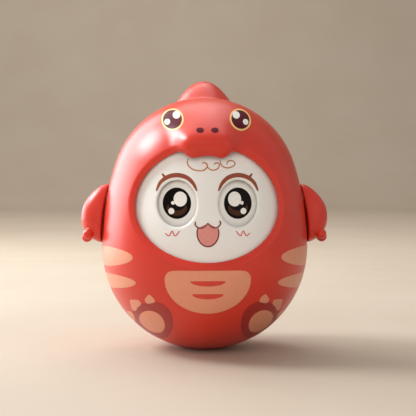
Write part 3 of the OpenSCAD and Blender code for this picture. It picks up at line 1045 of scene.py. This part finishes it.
@dataclass
class RearShell:
    """Rear half of the hood, with its crest and the wells of the shell screws."""

    body: BodyForm = BodyForm()
    spikes: tuple[Spike, ...] = (
        Spike(68, 11.15, 6.8), Spike(31, 7.81, 4.76), Spike(9, 5.58, 3.4))
    screw_places: tuple[Flat, ...] = ((16, 92), (27, 21))
    well_radius: float = 2.9
    well_wall: float = 1.7
    well_floor_y: float = 7.0
    well_end_y: float = 60.0
    boss_start_y: float = 0.3
    shank_radius: float = 1.65
    shank_start_y: float = -1.0
    shank_end_y: float = 20.0
    plug_steps: int = 48
    seam_clear: float = 0.01
    turn_steps: int = 132
    bowl_steps: int = 56
    side_steps: int = 32
    crown_steps: int = 84
    seam_width: float = 0.2
    seam_depth: float = 0.16

    def spin_wall(self, bm: bmesh.types.BMesh, inset: float) -> None:
        """Adds a profile of the body and spins it half round.

        Args:
            bm: Mesh that takes the wall.
            inset: Distance that the profile is taken in.
        """
        rises = self.body.rises(self.bowl_steps, self.side_steps, self.crown_steps)
        points = [self.body.profile_point(rise, inset) for rise in rises]
        verts = [bm.verts.new((radius, 0, max(0.0, z))) for radius, z in points]
        edges = [bm.edges.new(pair) for pair in zip(verts, verts[1:])]
        bmesh.ops.spin(
            bm, geom=verts + edges, cent=(0, 0, 0), axis=(0, 0, 1), angle=math.pi, steps=self.turn_steps)
        bmesh.ops.remove_doubles(bm, verts=bm.verts, dist=WELD)

    def build(self) -> bmesh.types.BMesh:
        """Mesh of the rear shell: the skin with its spikes drawn out, and the wall inside it.

        Returns:
            The mesh.
        """
        bm = bmesh.new()
        self.spin_wall(bm, 0)
        for vert in bm.verts:
            for spike in self.spikes:
                if vert.co.y > self.seam_clear:
                    vert.co = spike.raise_point(vert.co, self.body)
        skin = set(bm.faces)
        self.spin_wall(bm, self.body.wall)
        bmesh.ops.reverse_faces(bm, faces=[face for face in bm.faces if face not in skin])
        bmesh.ops.bridge_loops(bm, edges=[edge for edge in bm.edges if edge.is_boundary])
        seam(bm, self.body, self.seam_width, self.seam_depth)
        return outwards(bm)

    def plug(self, radius: float, start: float, end: float) -> bmesh.types.BMesh:
        """Four cylinders along y at the places of the shell screws.

        Args:
            radius: Radius of a cylinder.
            start: Depth y of the front end.
            end: Depth y of the rear end.

        Returns:
            The mesh.
        """
        bm = bmesh.new()
        for x, z in self.screw_places:
            for side in Side:
                middle = Matrix.Translation((x * side.value, (start + end) / 2, z))
                bmesh.ops.create_cone(
                    bm, cap_ends=True, segments=self.plug_steps, radius1=radius, radius2=radius,
                    depth=end - start, matrix=middle @ Matrix.Rotation(math.pi / 2, 4, "X"))
        return bm

    def bosses(self) -> bmesh.types.BMesh:
        """Four screw bosses, each ending in the middle of the wall.

        Returns:
            The mesh.
        """
        bm = self.plug(self.well_radius + self.well_wall, self.boss_start_y, self.body.bowl_radius)
        for vert in bm.verts:
            if vert.co.y > self.well_floor_y:
                reach = self.body.radius_at(vert.co.z, self.body.wall / 2)
                vert.co.y = math.sqrt(reach**2 - vert.co.x**2)
        return bm

    def carve(self, piece: bpy.types.Object) -> None:
        """Adds the screw bosses to the shell and bores their wells.

        Args:
            piece: The rear shell.
        """
        cuts = (
            ("UNION", self.bosses()),
            ("DIFFERENCE", self.plug(self.well_radius, self.well_floor_y, self.well_end_y)),
            ("DIFFERENCE", self.plug(self.shank_radius, self.shank_start_y, self.shank_end_y)),
        )
        for operation, bm in cuts:
            tool = placed("screw_wells", bm)
            modifier = piece.modifiers.new("screw_wells", "BOOLEAN")
            modifier.operation, modifier.solver, modifier.object = operation, "MANIFOLD", tool
            bake(piece)
            bpy.data.objects.remove(tool)

    def dress(self) -> bpy.types.Object:
        """The rear shell as a piece.

        Returns:
            The piece.
        """
        dress = Dress(PALETTE.coral, Part.SHELL, Slot.CORAL, ("rear_shell",), SHELL_SHARP)
        piece = dress.wear("hood_rear", self.build())
        self.carve(piece)
        return dress.dress(piece)


def bake(piece: bpy.types.Object) -> None:
    """Applies the modifiers of a piece to its mesh.

    Args:
        piece: The piece.
    """
    graph = bpy.context.evaluated_depsgraph_get()
    mesh = bpy.data.meshes.new_from_object(piece.evaluated_get(graph))
    piece.modifiers.clear()
    piece.data = mesh


@dataclass
class FaceMask:
    """White face behind the opening, with two rolled eye windows."""

    body: BodyForm = BodyForm()
    hood: HoodForm = HoodForm()
    inset: float = 2.9
    wall: float = 1.8
    overlap: float = 3.3
    eye_x: float = 11.8
    eye_z: float = 61.4
    window_half_x: float = 7.6
    window_half_z: float = 9.0
    window_roll: float = 1.1
    least_border: float = 0.05
    far_reach: float = 80.0
    halvings: int = 40
    columns: int = 180
    outer_rings: int = 26
    roll_rings: int = 8
    inner_rings: int = 8

    def within(self, at: Vector) -> bool:
        """Whether a place lies on the left half of the face.

        Args:
            at: The place as x and z.

        Returns:
            True on the half face.
        """
        reach = (self.hood.reach_up if at.y > self.hood.middle_z else self.hood.reach_down) + self.overlap
        across = at.x / (self.hood.half_width + self.overlap)
        return at.x > 0 and math.hypot(across, (at.y - self.hood.middle_z) / reach) < 1

    def border(self, way: Vector) -> Vector:
        """Border of the half face in a direction from the eye.

        Args:
            way: The direction, seen from the front.

        Returns:
            The place as x and z.
        """
        near, far = 0.0, self.far_reach
        eye = Vector((self.eye_x, self.eye_z))
        for _ in range(self.halvings):
            middle = (near + far) / 2
            near, far = (middle, far) if self.within(eye + way * middle) else (near, middle)
        found = eye + way * near
        return Vector((0.0 if found.x < WELD else found.x, found.y))

    def build(self) -> bmesh.types.BMesh:
        """Mesh of the face: each half lofted from its border into its window and back inside.

        Returns:
            The mesh.
        """
        front, rear = DomeFront(self.inset), DomeFront(self.inset + self.wall)
        eye = Vector((self.eye_x, self.eye_z))
        rows = self.outer_rings + self.roll_rings + self.inner_rings + 1

        def place(column: int, row: int) -> Vector:
            """Place of one crossing of the loft.

            Args:
                column: Step round the loft.
                row: Ring of the loft.

            Returns:
                The place.
            """
            turn = 2 * math.pi * (column % self.columns) / self.columns
            way = Vector((math.cos(turn), math.sin(turn)))
            border = self.border(way)
            window = eye + Vector((self.window_half_x * way.x, self.window_half_z * way.y))
            edge = window + way * self.window_roll
            if (border - eye).length <= (edge - eye).length:
                border = edge + way * self.least_border
            row = row % rows
            if row <= self.outer_rings:
                at = border.lerp(edge, row / self.outer_rings)
                return Vector((at.x, front.depth(at.x, at.y), at.y))
            if row <= self.outer_rings + self.roll_rings:
                roll = (row - self.outer_rings) / self.roll_rings * math.pi / 2
                at = window.lerp(edge, 1 - math.sin(roll))
                sunk = self.window_roll * (1 - math.cos(roll))
                return Vector((at.x, front.depth(at.x, at.y) + sunk, at.y))
            share = (row - self.outer_rings - self.roll_rings - 1) / (self.inner_rings - 1)
            at = window.lerp(border, share)
            return Vector((at.x, rear.depth(at.x, at.y), at.y))

        bm = sheet(self.columns, rows, place)
        bmesh.ops.mirror(bm, geom=bm.verts[:] + bm.edges[:] + bm.faces[:], axis="X", merge_dist=WELD)
        middle = [face for face in bm.faces if all(abs(vert.co.x) < WELD for vert in face.verts)]
        bmesh.ops.delete(bm, geom=middle, context="FACES")
        bmesh.ops.remove_doubles(bm, verts=bm.verts, dist=WELD)
        return outwards(bm)

    def dress(self) -> bpy.types.Object:
        """The face as a piece."""
        dress = Dress(PALETTE.white, Part.SHELL, Slot.WHITE, ("face_mask",), SHELL_SHARP)
        return dress.wear("face", self.build())


@dataclass
class Arm:
    """Arm on its shoulder pin, lofted from half sections, with three fingers."""

    side: Side
    body: BodyForm = BodyForm()
    shoulder_rise: float = 10.6
    up: float = 5.5
    down: float = 19.0
    thick: float = 9.3
    half_width: float = 8.0
    top_power: float = 2.2
    hand_power: float = 3.0
    top_thick_share: float = 0.62
    top_width_share: float = 0.68
    thick_ease: Flat = (-0.2, 0.6)
    width_ease: Flat = (0.0, 0.8)
    edge_share: float = 0.14
    inner_power: float = 0.65
    gap: float = 0.15
    finger_radius: float = 2.2
    fingers: tuple[Place, ...] = ((16.2, -5.44, 4.46), (17.8, 0.0, 5.12), (16.2, 5.44, 4.46))
    finger_steps: int = 32
    finger_rings: int = 20
    rings: int = 60
    around: int = 72
    voxel: float = 0.28
    ease_factor: float = 0.5
    ease_passes: int = 5

    def section(self, share: float) -> Flat:
        """Half section of the arm at a share of its length.

        Args:
            share: Share of the arm's length, from its top.

        Returns:
            Reach out of the body and half width along it.
        """
        power = self.top_power if share < 0.5 else self.hand_power
        swell = math.sqrt(max(0.0, 1 - abs(2 * share - 1) ** power))
        thick = self.top_thick_share + (1 - self.top_thick_share) * ease(*self.thick_ease, share)
        width = self.top_width_share + (1 - self.top_width_share) * ease(*self.width_ease, share)
        return self.thick * swell * thick, self.half_width * swell * width

    def point(self, share: float, turn: float) -> Vector:
        """Point of the blade, in the frame of the shoulder pin.

        Args:
            share: Share of the arm's length, from its top.
            turn: Angle round the section, in radians; the inner side is below 0.

        Returns:
            The place, with x down the body's side and z out along the pin.
        """
        out, half = self.section(share)
        across, up = math.cos(turn), self.edge_share + (1 - self.edge_share) * math.sin(turn)
        if math.sin(turn) < 0:
            across = math.copysign(abs(across) ** self.inner_power, across)
            up = self.edge_share * (1 - abs(math.sin(turn)) ** self.inner_power)
        x, y = -self.up + (self.up + self.down) * share, half * across
        dish = (x * x + y * y) / (2 * self.body.side_radius)
        return Vector((x, y, self.gap - dish + out * up))

    def build(self) -> bmesh.types.BMesh:
        """Mesh of the arm in the toy's frame.

        Returns:
            The mesh.
        """

        def place(column: int, row: int) -> Vector:
            """Place of one crossing of the loft."""
            share = 0.5 - 0.5 * math.cos(math.pi * row / self.rings)
            return self.point(share, 2 * math.pi * (column % self.around) / self.around)

        bm = sheet(self.around, self.rings, place)
        for finger in self.fingers:
            bmesh.ops.create_uvsphere(
                bm, u_segments=self.finger_steps, v_segments=self.finger_rings, radius=self.finger_radius,
                matrix=Matrix.Translation(finger))
        rise = math.radians(self.shoulder_rise)
        radius, z = self.body.profile_point(rise)
        turned = Matrix.Translation((radius, 0, z)) @ Matrix.Rotation(math.pi / 2 - rise, 4, "Y")
        bmesh.ops.transform(bm, matrix=turned, verts=bm.verts)
        if self.side is Side.RIGHT:
            bmesh.ops.scale(bm, vec=(-1, 1, 1), verts=bm.verts)
        return outwards(bm)

    def dress(self) -> bpy.types.Object:
        """The arm as a piece, with its fingers melted into the hand.

        Returns:
            The piece.
        """
        name = "arm_left" if self.side is Side.LEFT else "arm_right"
        part = Part.ARM_LEFT if self.side is Side.LEFT else Part.ARM_RIGHT
        dress = Dress(PALETTE.coral, part, Slot.CORAL, (name,), ARM_SHARP)
        piece = dress.wear(name + "_blade", self.build())
        melt = piece.modifiers.new("melt", "REMESH")
        melt.mode, melt.voxel_size = "VOXEL", self.voxel * MM
        soften = piece.modifiers.new("soften", "SMOOTH")
        soften.factor, soften.iterations = self.ease_factor, self.ease_passes
        bake(piece)
        return dress.dress(piece)


def mirrored(points: Sequence[Flat], side: Side) -> tuple[Flat, ...]:
    """Points of the left side, mirrored for the right side."""
    return tuple((x * side.value, z) for x, z in points)


@dataclass
class HoodPrints:
    """Painted eyes and nostrils of the hood."""

    eye: Flat = (13.5, 94.4)
    eye_half: Flat = (4.4, 4.65)
    pupil_share: float = 0.85
    big_light: Disc = (-1.65, 1.75, 1.5)
    small_light: Disc = (2.0, -1.05, 1.15)
    light_stretch: float = 1.06
    nostril: Oval = (2.85, 89.7, 1.5, 1.05)

    def prints(self, side: Side) -> list[Blob]:
        """Prints of one side.

        Args:
            side: Side of the toy.

        Returns:
            The prints, lowest film first.
        """
        label = side.name.lower()
        x, z = self.eye[0] * side.value, self.eye[1]
        half_x, half_z = self.eye_half
        ring = Arc(x, z, half_x, half_z, steps=64)
        pupil = Arc(x, z, half_x * self.pupil_share, half_z * self.pupil_share, steps=64)
        nostril = Arc(self.nostril[0] * side.value, *self.nostril[1:])
        found = [
            Blob(f"hood_eye_ring_{label}", PALETTE.gold, (ring,)),
            Blob(f"hood_eye_{label}", PALETTE.maroon, (pupil,), layer=2),
            Blob(f"nostril_{label}", PALETTE.maroon, (nostril,), rings=5),
        ]
        for word, (across, up, radius) in (("big", self.big_light), ("small", self.small_light)):
            arc = Arc(x + across * side.value, z + up, radius, radius * self.light_stretch)
            found.append(Blob(f"hood_eye_{word}_light_{label}", PALETTE.highlight, (arc,), layer=3, rings=5))
        return found

    def dress(self) -> None:
        """Lays the prints on the hood."""
        for side in Side:
            for item in self.prints(side):
                Dress(item.ink, Part.SHELL).wear(item.name, item.build(HoodFront()))


@dataclass
class EyePrints:
    """Irises of the swinging eyes."""

    eye: Flat = (11.85, 61.45)
    iris_half: Flat = (5.5, 6.05)
    glow: Oval = (0.0, -1.9, 3.9, 2.9)
    shade: Oval = (0.0, -0.2, 3.3, 2.7)
    big_light: Oval = (-1.35, 1.6, 2.55, 2.85)
    lobe_light: Oval = (1.45, 0.1, 0.7, 0.7)
    small_light: Oval = (2.1, -3.05, 1.15, 1.2)

    def prints(self, side: Side) -> list[Blob]:
        """Prints of one eye.

        Args:
            side: Side of the toy.

        Returns:
            The prints, lowest film first.
        """
        label = side.name.lower()
        x, z = self.eye[0] * side.value, self.eye[1]
        layers = (
            ("iris", PALETTE.iris, (0.0, 0.0, *self.iris_half), 1),
            ("iris_glow", PALETTE.iris_glow, self.glow, 2),
            ("iris_shade", PALETTE.iris, self.shade, 3),
            ("big_light", PALETTE.highlight, self.big_light, 4),
            ("lobe_light", PALETTE.highlight, self.lobe_light, 5),
            ("small_light", PALETTE.highlight, self.small_light, 4),
        )
        found = []
        for word, ink, (across, up, half_x, half_z), layer in layers:
            arc = Arc(x + across * side.value, z + up, half_x, half_z, steps=56)
            found.append(Blob(f"{word}_{label}", ink, (arc,), layer, rings=7))
        return found

    def dress(self) -> None:
        """Lays the irises on the eye plate."""
        for side in Side:
            for item in self.prints(side):
                Dress(item.ink, Part.EYES).wear(item.name, item.build(EyeBall()))


@dataclass
class FacePrints:
    """Lashes, mouth, tongue, blush and curls of the face."""

    lash: tuple[Flat, ...] = (
        (19.9, 66.0), (18.3, 69.4), (15.4, 71.6), (11.8, 72.35), (8.2, 71.5), (5.6, 69.2), (4.1, 66.1))
    lash_width: float = 1.75
    barb: tuple[Flat, ...] = ((15.2, 71.4), (16.4, 71.6), (17.6, 73.0))
    barb_width: float = 1.0
    mouth_left: tuple[Flat, ...] = (
        (4.3, 54.75), (4.85, 54.3), (4.75, 53.5), (3.9, 52.5), (2.5, 52.15), (1.1, 52.8), (0, 53.95))
    mouth_right: tuple[Flat, ...] = (
        (-4.7, 54.5), (-4.85, 53.4), (-4.0, 52.4), (-2.6, 52.05), (-1.2, 52.7), (0, 53.95))
    tongue_half: Flat = (4.15, 5.2)
    tongue_top: float = 3.2
    tongue_z: float = 50.2
    tongue_line_turns: tuple[int, ...] = tuple(range(155, 386, 15))
    line_width: float = 0.5
    blush: tuple[Flat, ...] = ((16.4, 50.0), (14.9, 49.0), (13.7, 50.8), (12.6, 49.0), (10.8, 51.0))
    blush_width: float = 0.45
    curls: tuple[tuple[Flat, ...], ...] = (
        ((-7.35, 78.7), (-7.8, 77.4), (-7.4, 76.05), (-5.85, 74.7), (-3.9, 74.1), (-1.9, 74.1), (-0.35, 75.1),
         (-0.05, 76.05), (-0.55, 76.9), (-1.5, 77.15), (-2.0, 76.75)),
        ((0.0, 75.6), (0.65, 74.7), (2.25, 74.25), (3.8, 74.75), (4.6, 75.85), (4.4, 76.75), (3.4, 77.05),
         (2.4, 76.45)),
        ((5.0, 78.0), (5.0, 77.05), (5.75, 75.85), (7.15, 75.2), (8.7, 75.25), (10.3, 76.05), (10.75, 76.9),
         (9.9, 77.85), (8.7, 77.9), (7.75, 77.45), (7.65, 76.4)),
    )
    curl_width: float = 0.45

    def prints(self) -> list[Blob | Stroke]:
        """All prints of the face.

        Returns:
            The prints, lowest film first where they overlap.
        """
        found: list[Blob | Stroke] = []
        for side in Side:
            label = side.name.lower()
            lash, barb, blush = (mirrored(points, side) for points in (self.lash, self.barb, self.blush))
            found += [
                Stroke(f"lash_{label}", PALETTE.lash, lash, self.lash_width),
                Stroke(f"lash_barb_{label}", PALETTE.lash, barb, self.barb_width, layer=2),
                Stroke(f"blush_{label}", PALETTE.blush, blush, self.blush_width, tip_width=0.2, fullness=6),
            ]
        half_x, half_z = self.tongue_half
        tongue = (
            Arc(0, self.tongue_z, half_x, half_z, 180, 360),
            Arc(0, self.tongue_z, half_x, self.tongue_top, 0, 180),
        )
        found.append(Blob("tongue", PALETTE.tongue, tongue))
        turns = [math.radians(turn) for turn in self.tongue_line_turns]
        rim = tuple((half_x * math.cos(t), self.tongue_z + half_z * math.sin(t)) for t in turns)
        lines = (
            ("tongue_line", rim, 0.4, 2),
            ("mouth_line_left", self.mouth_left, 0.25, 3),
            ("mouth_line_right", self.mouth_right, 0.25, 3),
        )
        for name, points, tip_width, layer in lines:
            found.append(Stroke(name, PALETTE.mouth, points, self.line_width, tip_width, 8, layer))
        for number, curl in enumerate(self.curls, 1):
            name = f"curl_{number}"
            found.append(Stroke(name, PALETTE.curl, curl, self.curl_width, tip_width=0.2, fullness=6))
        return found

    def dress(self) -> None:
        """Lays the prints on the face."""
        for item in self.prints():
            Dress(item.ink, Part.SHELL).wear(item.name, item.build(DomeFront(FaceMask.inset)))


def rounded_triangle(corners: Sequence[Flat], radius: float) -> tuple[Arc, ...]:
    """Outline of a triangle with round corners.

    Args:
        corners: Middles of the three round corners, anticlockwise.
        radius: Radius of the corners.

    Returns:
        The arcs, corner by corner.
    """
    arcs = []
    for index, (x, z) in enumerate(corners):
        before, after = corners[index - 1], corners[(index + 1) % 3]
        start = math.degrees(math.atan2(z - before[1], x - before[0])) - 90
        end = math.degrees(math.atan2(after[1] - z, after[0] - x)) - 90
        arcs.append(Arc(x, z, radius, radius, start, start + (end - start) % 360, steps=16))
    return tuple(arcs)


@dataclass
class BodyPrints:
    """Belly patch, side stripes and feet."""

    belly_half_width: float = 16.6
    belly_z: float = 32.3
    belly_up: float = 3.4
    belly_down: float = 13.6
    belly_corner: float = 3.2
    belly_crown: float = 0.25
    belly_fan_drop: float = 2.0
    folds: tuple[Disc, ...] = ((31.75, 6.75, 1.95), (26.6, 6.0, 1.95))
    fold_crown: float = 0.15
    fold_fan_share: float = 0.4
    stripes: tuple[tuple[str, float, float, float], ...] = (
        ("upper", 40.2, 39.1, 4.0), ("lower", 30.2, 29.1, 3.0))
    stripe_tip: float = 43.0
    stripe_nose: float = 30.0
    stripe_steps: int = 44
    stripe_rows: int = 6
    seam_turn: float = 90.0
    seam_half: float = 0.3
    foot: Oval = (1.4, -0.65, 16.4, 8.8)
    pad: Oval = (0.3, 0.2, 8.9, 5.6)
    foot_tilt: float = -38.0
    claws: tuple[tuple[Flat, ...], ...] = (
        ((-4.2, 12.0), (-6.1, 13.5), (-6.8, 12.4)),
        ((6.6, 7.0), (5.4, 10.3), (1.2, 10.9)),
        ((13.8, -1.6), (13.9, 1.6), (10.6, 2.9)),
    )
    claw_radius: float = 1.25

    def belly(self) -> list[Blob]:
        """Belly patch and its two folds.

        Returns:
            The prints, lowest film first.
        """
        straight = self.belly_half_width - self.belly_corner
        arcs = (
            Arc(0, self.belly_z, self.belly_half_width, self.belly_down, 180, 360, steps=72),
            Arc(straight, self.belly_z, self.belly_corner, self.belly_up, 0, 90, steps=14),
            Arc(0, self.belly_z + self.belly_up, straight, self.belly_crown, 0, 180, steps=40),
            Arc(-straight, self.belly_z, self.belly_corner, self.belly_up, 90, 180, steps=14),
        )
        middle = (0, self.belly_z - self.belly_fan_drop)
        found = [Blob("belly_patch", PALETTE.peach, arcs, rings=22, middle=middle)]
        for number, (z, half, drop) in enumerate(self.folds, 1):
            arcs = (
                Arc(0, z, half, drop, 180, 360, steps=36),
                Arc(0, z, half, self.fold_crown, 0, 180, steps=36),
            )
            middle = (0, z - drop * self.fold_fan_share)
            found.append(Blob(f"belly_fold_{number}", PALETTE.scarlet, arcs, layer=2, rings=6, middle=middle))
        return found

    def stripe(self, side: Side, rear: bool, row: tuple[str, float, float, float]) -> bmesh.types.BMesh:
        """Mesh of one stripe, from its tip to the parting line.

        Args:
            side: Side of the toy.
            rear: Whether the stripe is on the rear shell.
            row: Name, height at the tip, height at the parting line, and half width.

        Returns:
            The mesh.
        """
        _, tip_z, seam_z, half = row
        length = self.seam_turn - self.stripe_tip

        def place(column: int, line: int) -> Vector:
            """Flat place of a crossing, with the columns closer together at the tip.

            Args:
                column: Step from the tip to the parting line.
                line: Step across the stripe.

            Returns:
                The place, as turn and height.
            """
            way = column / self.stripe_steps
            share = way**2 if way < 0.5 else way - 0.5 * (1 - way)
            past = (length - self.seam_half) * share
            nose = min(1.0, past / self.stripe_nose)
            width = half * math.sqrt(max(0.0, 1 - (1 - nose) ** 2))
            middle = tip_z + (seam_z - tip_z) * past / length
            turn = self.stripe_tip + past
            seen = 2 * self.seam_turn - turn if rear else turn
            return Vector((seen, 0, middle + width * (2 * line / self.stripe_rows - 1)))

        return draped(sheet(self.stripe_steps, self.stripe_rows, place), BodySide(side), INK_LIFT)

    def feet(self) -> list[Blob]:
        """Foot, pad and claws, in the flat measures of a bowl patch.

        Returns:
            The prints, lowest film first.
        """
        foot, pad = (Arc(*oval, tilt=self.foot_tilt, steps=72) for oval in (self.foot, self.pad))
        found = [
            Blob("foot", PALETTE.claret, (foot,), rings=14),
            Blob("foot_pad", PALETTE.peach, (pad,), layer=2, rings=14),
        ]
        for number, claw in enumerate(self.claws, 1):
            outline = rounded_triangle(claw, self.claw_radius)
            found.append(Blob(f"claw_{number}", PALETTE.peach, outline, layer=3, rings=6))
        return found

    def dress(self) -> None:
        """Lays the prints on the body."""
        for item in self.belly():
            Dress(item.ink, Part.SHELL).wear(item.name, item.build(HoodFront()))
        for side in Side:
            label = side.name.lower()
            for item in self.feet():
                Dress(item.ink, Part.SHELL).wear(f"{item.name}_{label}", item.build(BowlPatch(side)))
            for row in self.stripes:
                for rear in (False, True):
                    name = f"stripe_{row[0]}_{label}_{'rear' if rear else 'front'}"
                    Dress(PALETTE.peach, Part.SHELL).wear(name, self.stripe(side, rear, row))


@dataclass
class Works:
    """Pieces that keep their shape from the frame: eye plate, ballast, chime, screws, pins and washers."""

    white: tuple[str, ...] = ("eye_plate",)
    iron: tuple[str, ...] = ("ballast_weight",)
    nylon: tuple[str, ...] = ("chime_bracket", "clapper_arm", "shoulder_pin_left", "shoulder_pin_right")

    def finish_of(self, name: str) -> Finish:
        """Finish of a node.

        Args:
            name: Name of the node.

        Returns:
            The finish.
        """
        if name in self.white:
            return PALETTE.white
        if name in self.iron:
            return PALETTE.iron
        return PALETTE.nylon if name in self.nylon else PALETTE.steel

    def dress(self) -> None:
        """Gives every shown node its finish."""
        for name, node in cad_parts.items():
            if node.hide_render:
                continue
            node.data.materials.clear()
            node.data.materials.append(material_of(self.finish_of(name)))
            log.info("%s keeps its shape", name)


@dataclass(frozen=True)
class FloorPaint:
    """Plain pale floor and backdrop."""

    name: str = "pale_floor"
    tone: Color = srgb(194, 180, 163)
    deep_tone: Color = srgb(189, 174, 156)
    cloud_scale: float = 9.0
    gloss_scale: float = 40.0
    gloss_low: float = 0.5
    gloss_high: float = 0.6

    def material(self) -> bpy.types.Material:
        """The floor as a material.

        Returns:
            The material.
        """
        desk = NodeDesk(self.name)
        desk.tint(desk.span(desk.noise(self.cloud_scale, detail=3), 0, 1), self.tone, self.deep_tone)
        desk.roughen(desk.noise(self.gloss_scale, detail=3), self.gloss_low, self.gloss_high)
        return desk.material


DAYLIGHT: Color = (0.93, 0.97, 1.0)
LAMPLIGHT: Color = (1.0, 0.97, 0.93)


@dataclass(frozen=True)
class Lamp:
    """Square soft lamp: places and sizes in millimetres, power in watts, spread in degrees."""

    name: str
    place: Place
    size: float
    power: float
    color: Color = LAMPLIGHT
    aim: Place = (0, 0, 50)
    mirrored: bool = True
    spread: float = 180.0

    def hang(self) -> None:
        """Puts the lamp in its place, aimed, out of sight, and out of reflections if it isn't mirrored."""
        data = bpy.data.lights.new(self.name, "AREA")
        data.shape, data.size = "SQUARE", self.size * MM
        data.energy, data.color = self.power, self.color
        data.spread = math.radians(self.spread)
        lamp = bpy.data.objects.new(self.name, data)
        lamp.location = Vector(self.place) * MM
        lamp.rotation_euler = (Vector(self.aim) - Vector(self.place)).to_track_quat("-Z", "Y").to_euler()
        lamp.visible_camera, lamp.visible_glossy = False, self.mirrored
        bpy.context.scene.collection.objects.link(lamp)


@dataclass
class Studio:
    """Floor, lamps and camera at the photograph's angle."""

    distance: float = 470.0
    azimuth: float = -1.8
    eye_height: float = 75.5
    focal_pixels: float = 1125.0
    frame_pixels: float = 416.0
    sensor_width: float = 36.0
    clip: Flat = (0.01, 20.0)
    horizon_row: float = 167.0
    axis_column: float = 204.7
    floor_half: float = 2500.0
    backdrop_y: float = 1500.0
    backdrop_radius: float = 500.0
    backdrop_height: float = 2000.0
    backdrop_steps: int = 24
    surround_tone: Color = (0.86, 0.83, 0.8)
    surround_strength: float = 0.45
    lamps: tuple[Lamp, ...] = (
        Lamp("key", (-540, 140, 560), 260, 4.2, DAYLIGHT),
        Lamp("window", (-620, 450, 350), 750, 3.7, DAYLIGHT, spread=110),
        Lamp("front", (-160, -600, 290), 500, 1.45, mirrored=False),
        Lamp("top", (-60, 260, 680), 600, 1.4),
        Lamp("fill", (480, -420, 270), 500, 0.25),
        Lamp("rear", (-200, 700, 900), 700, 7.8, aim=(0, 1500, 100)),
    )

    def floor(self) -> None:
        """Floor that sweeps up into a backdrop."""
        radius, steps = self.backdrop_radius, self.backdrop_steps
        turns = [k / steps * math.pi / 2 for k in range(steps + 1)]
        sweep = [(self.backdrop_y + radius * math.sin(t), radius * (1 - math.cos(t))) for t in turns]
        line = [(-self.floor_half, 0.0), *sweep, (sweep[-1][0], self.backdrop_height)]
        bm = bmesh.new()
        verts = [bm.verts.new((-self.floor_half, y, z)) for y, z in line]
        edges = [bm.edges.new(pair) for pair in zip(verts, verts[1:])]
        grown = bmesh.ops.extrude_edge_only(bm, edges=edges)
        moved = [item for item in grown["geom"] if isinstance(item, bmesh.types.BMVert)]
        bmesh.ops.translate(bm, vec=(2 * self.floor_half, 0, 0), verts=moved)
        floor = placed("floor", outwards(bm))
        floor.data.polygons.foreach_set("use_smooth", [True] * len(floor.data.polygons))
        floor.data.materials.append(material_of(FloorPaint()))

    def light(self) -> None:
        """Hangs the lamps and gives the room an even surround."""
        for lamp in self.lamps:
            lamp.hang()
        world = bpy.data.worlds.new("studio")
        world.use_nodes = True
        surround = world.node_tree.nodes["Background"]
        surround.inputs["Color"].default_value = (*self.surround_tone, 1)
        surround.inputs["Strength"].default_value = self.surround_strength
        bpy.context.scene.world = world

    def camera(self) -> None:
        """Camera a little above the face, slightly to the right hand side."""
        turn = math.radians(self.azimuth)
        place = Vector((self.distance * math.sin(turn), -self.distance * math.cos(turn), self.eye_height))
        middle = self.frame_pixels / 2
        right = Vector((math.cos(turn), math.sin(turn), 0)) * (middle - self.axis_column)
        down = Vector((0, 0, -1)) * (middle - self.horizon_row)
        ahead = Vector((-math.sin(turn), math.cos(turn), 0)) * self.focal_pixels
        data = bpy.data.cameras.new("camera")
        data.sensor_width = self.sensor_width
        data.lens = self.sensor_width * self.focal_pixels / self.frame_pixels
        data.clip_start, data.clip_end = self.clip
        camera = bpy.data.objects.new("camera", data)
        camera.location = place * MM
        camera.rotation_euler = (ahead + right + down).to_track_quat("-Z", "Y").to_euler()
        bpy.context.scene.collection.objects.link(camera)
        bpy.context.scene.camera = camera

    def set_up(self) -> None:
        """Sets up the whole studio."""
        self.floor()
        self.light()
        self.camera()
        bpy.context.scene.view_settings.view_transform = "Standard"


def main() -> None:
    """Builds the toy's pieces in order and sets up the studio."""
    logging.basicConfig(level=logging.INFO, format="%(name)s %(message)s")
    FrontShell().dress()
    RearShell().dress()
    FaceMask().dress()
    for side in Side:
        Arm(side).dress()
    HoodPrints().dress()
    EyePrints().dress()
    FacePrints().dress()
    BodyPrints().dress()
    Works().dress()
    Studio().set_up()


if __name__ == "__main__":
    main()
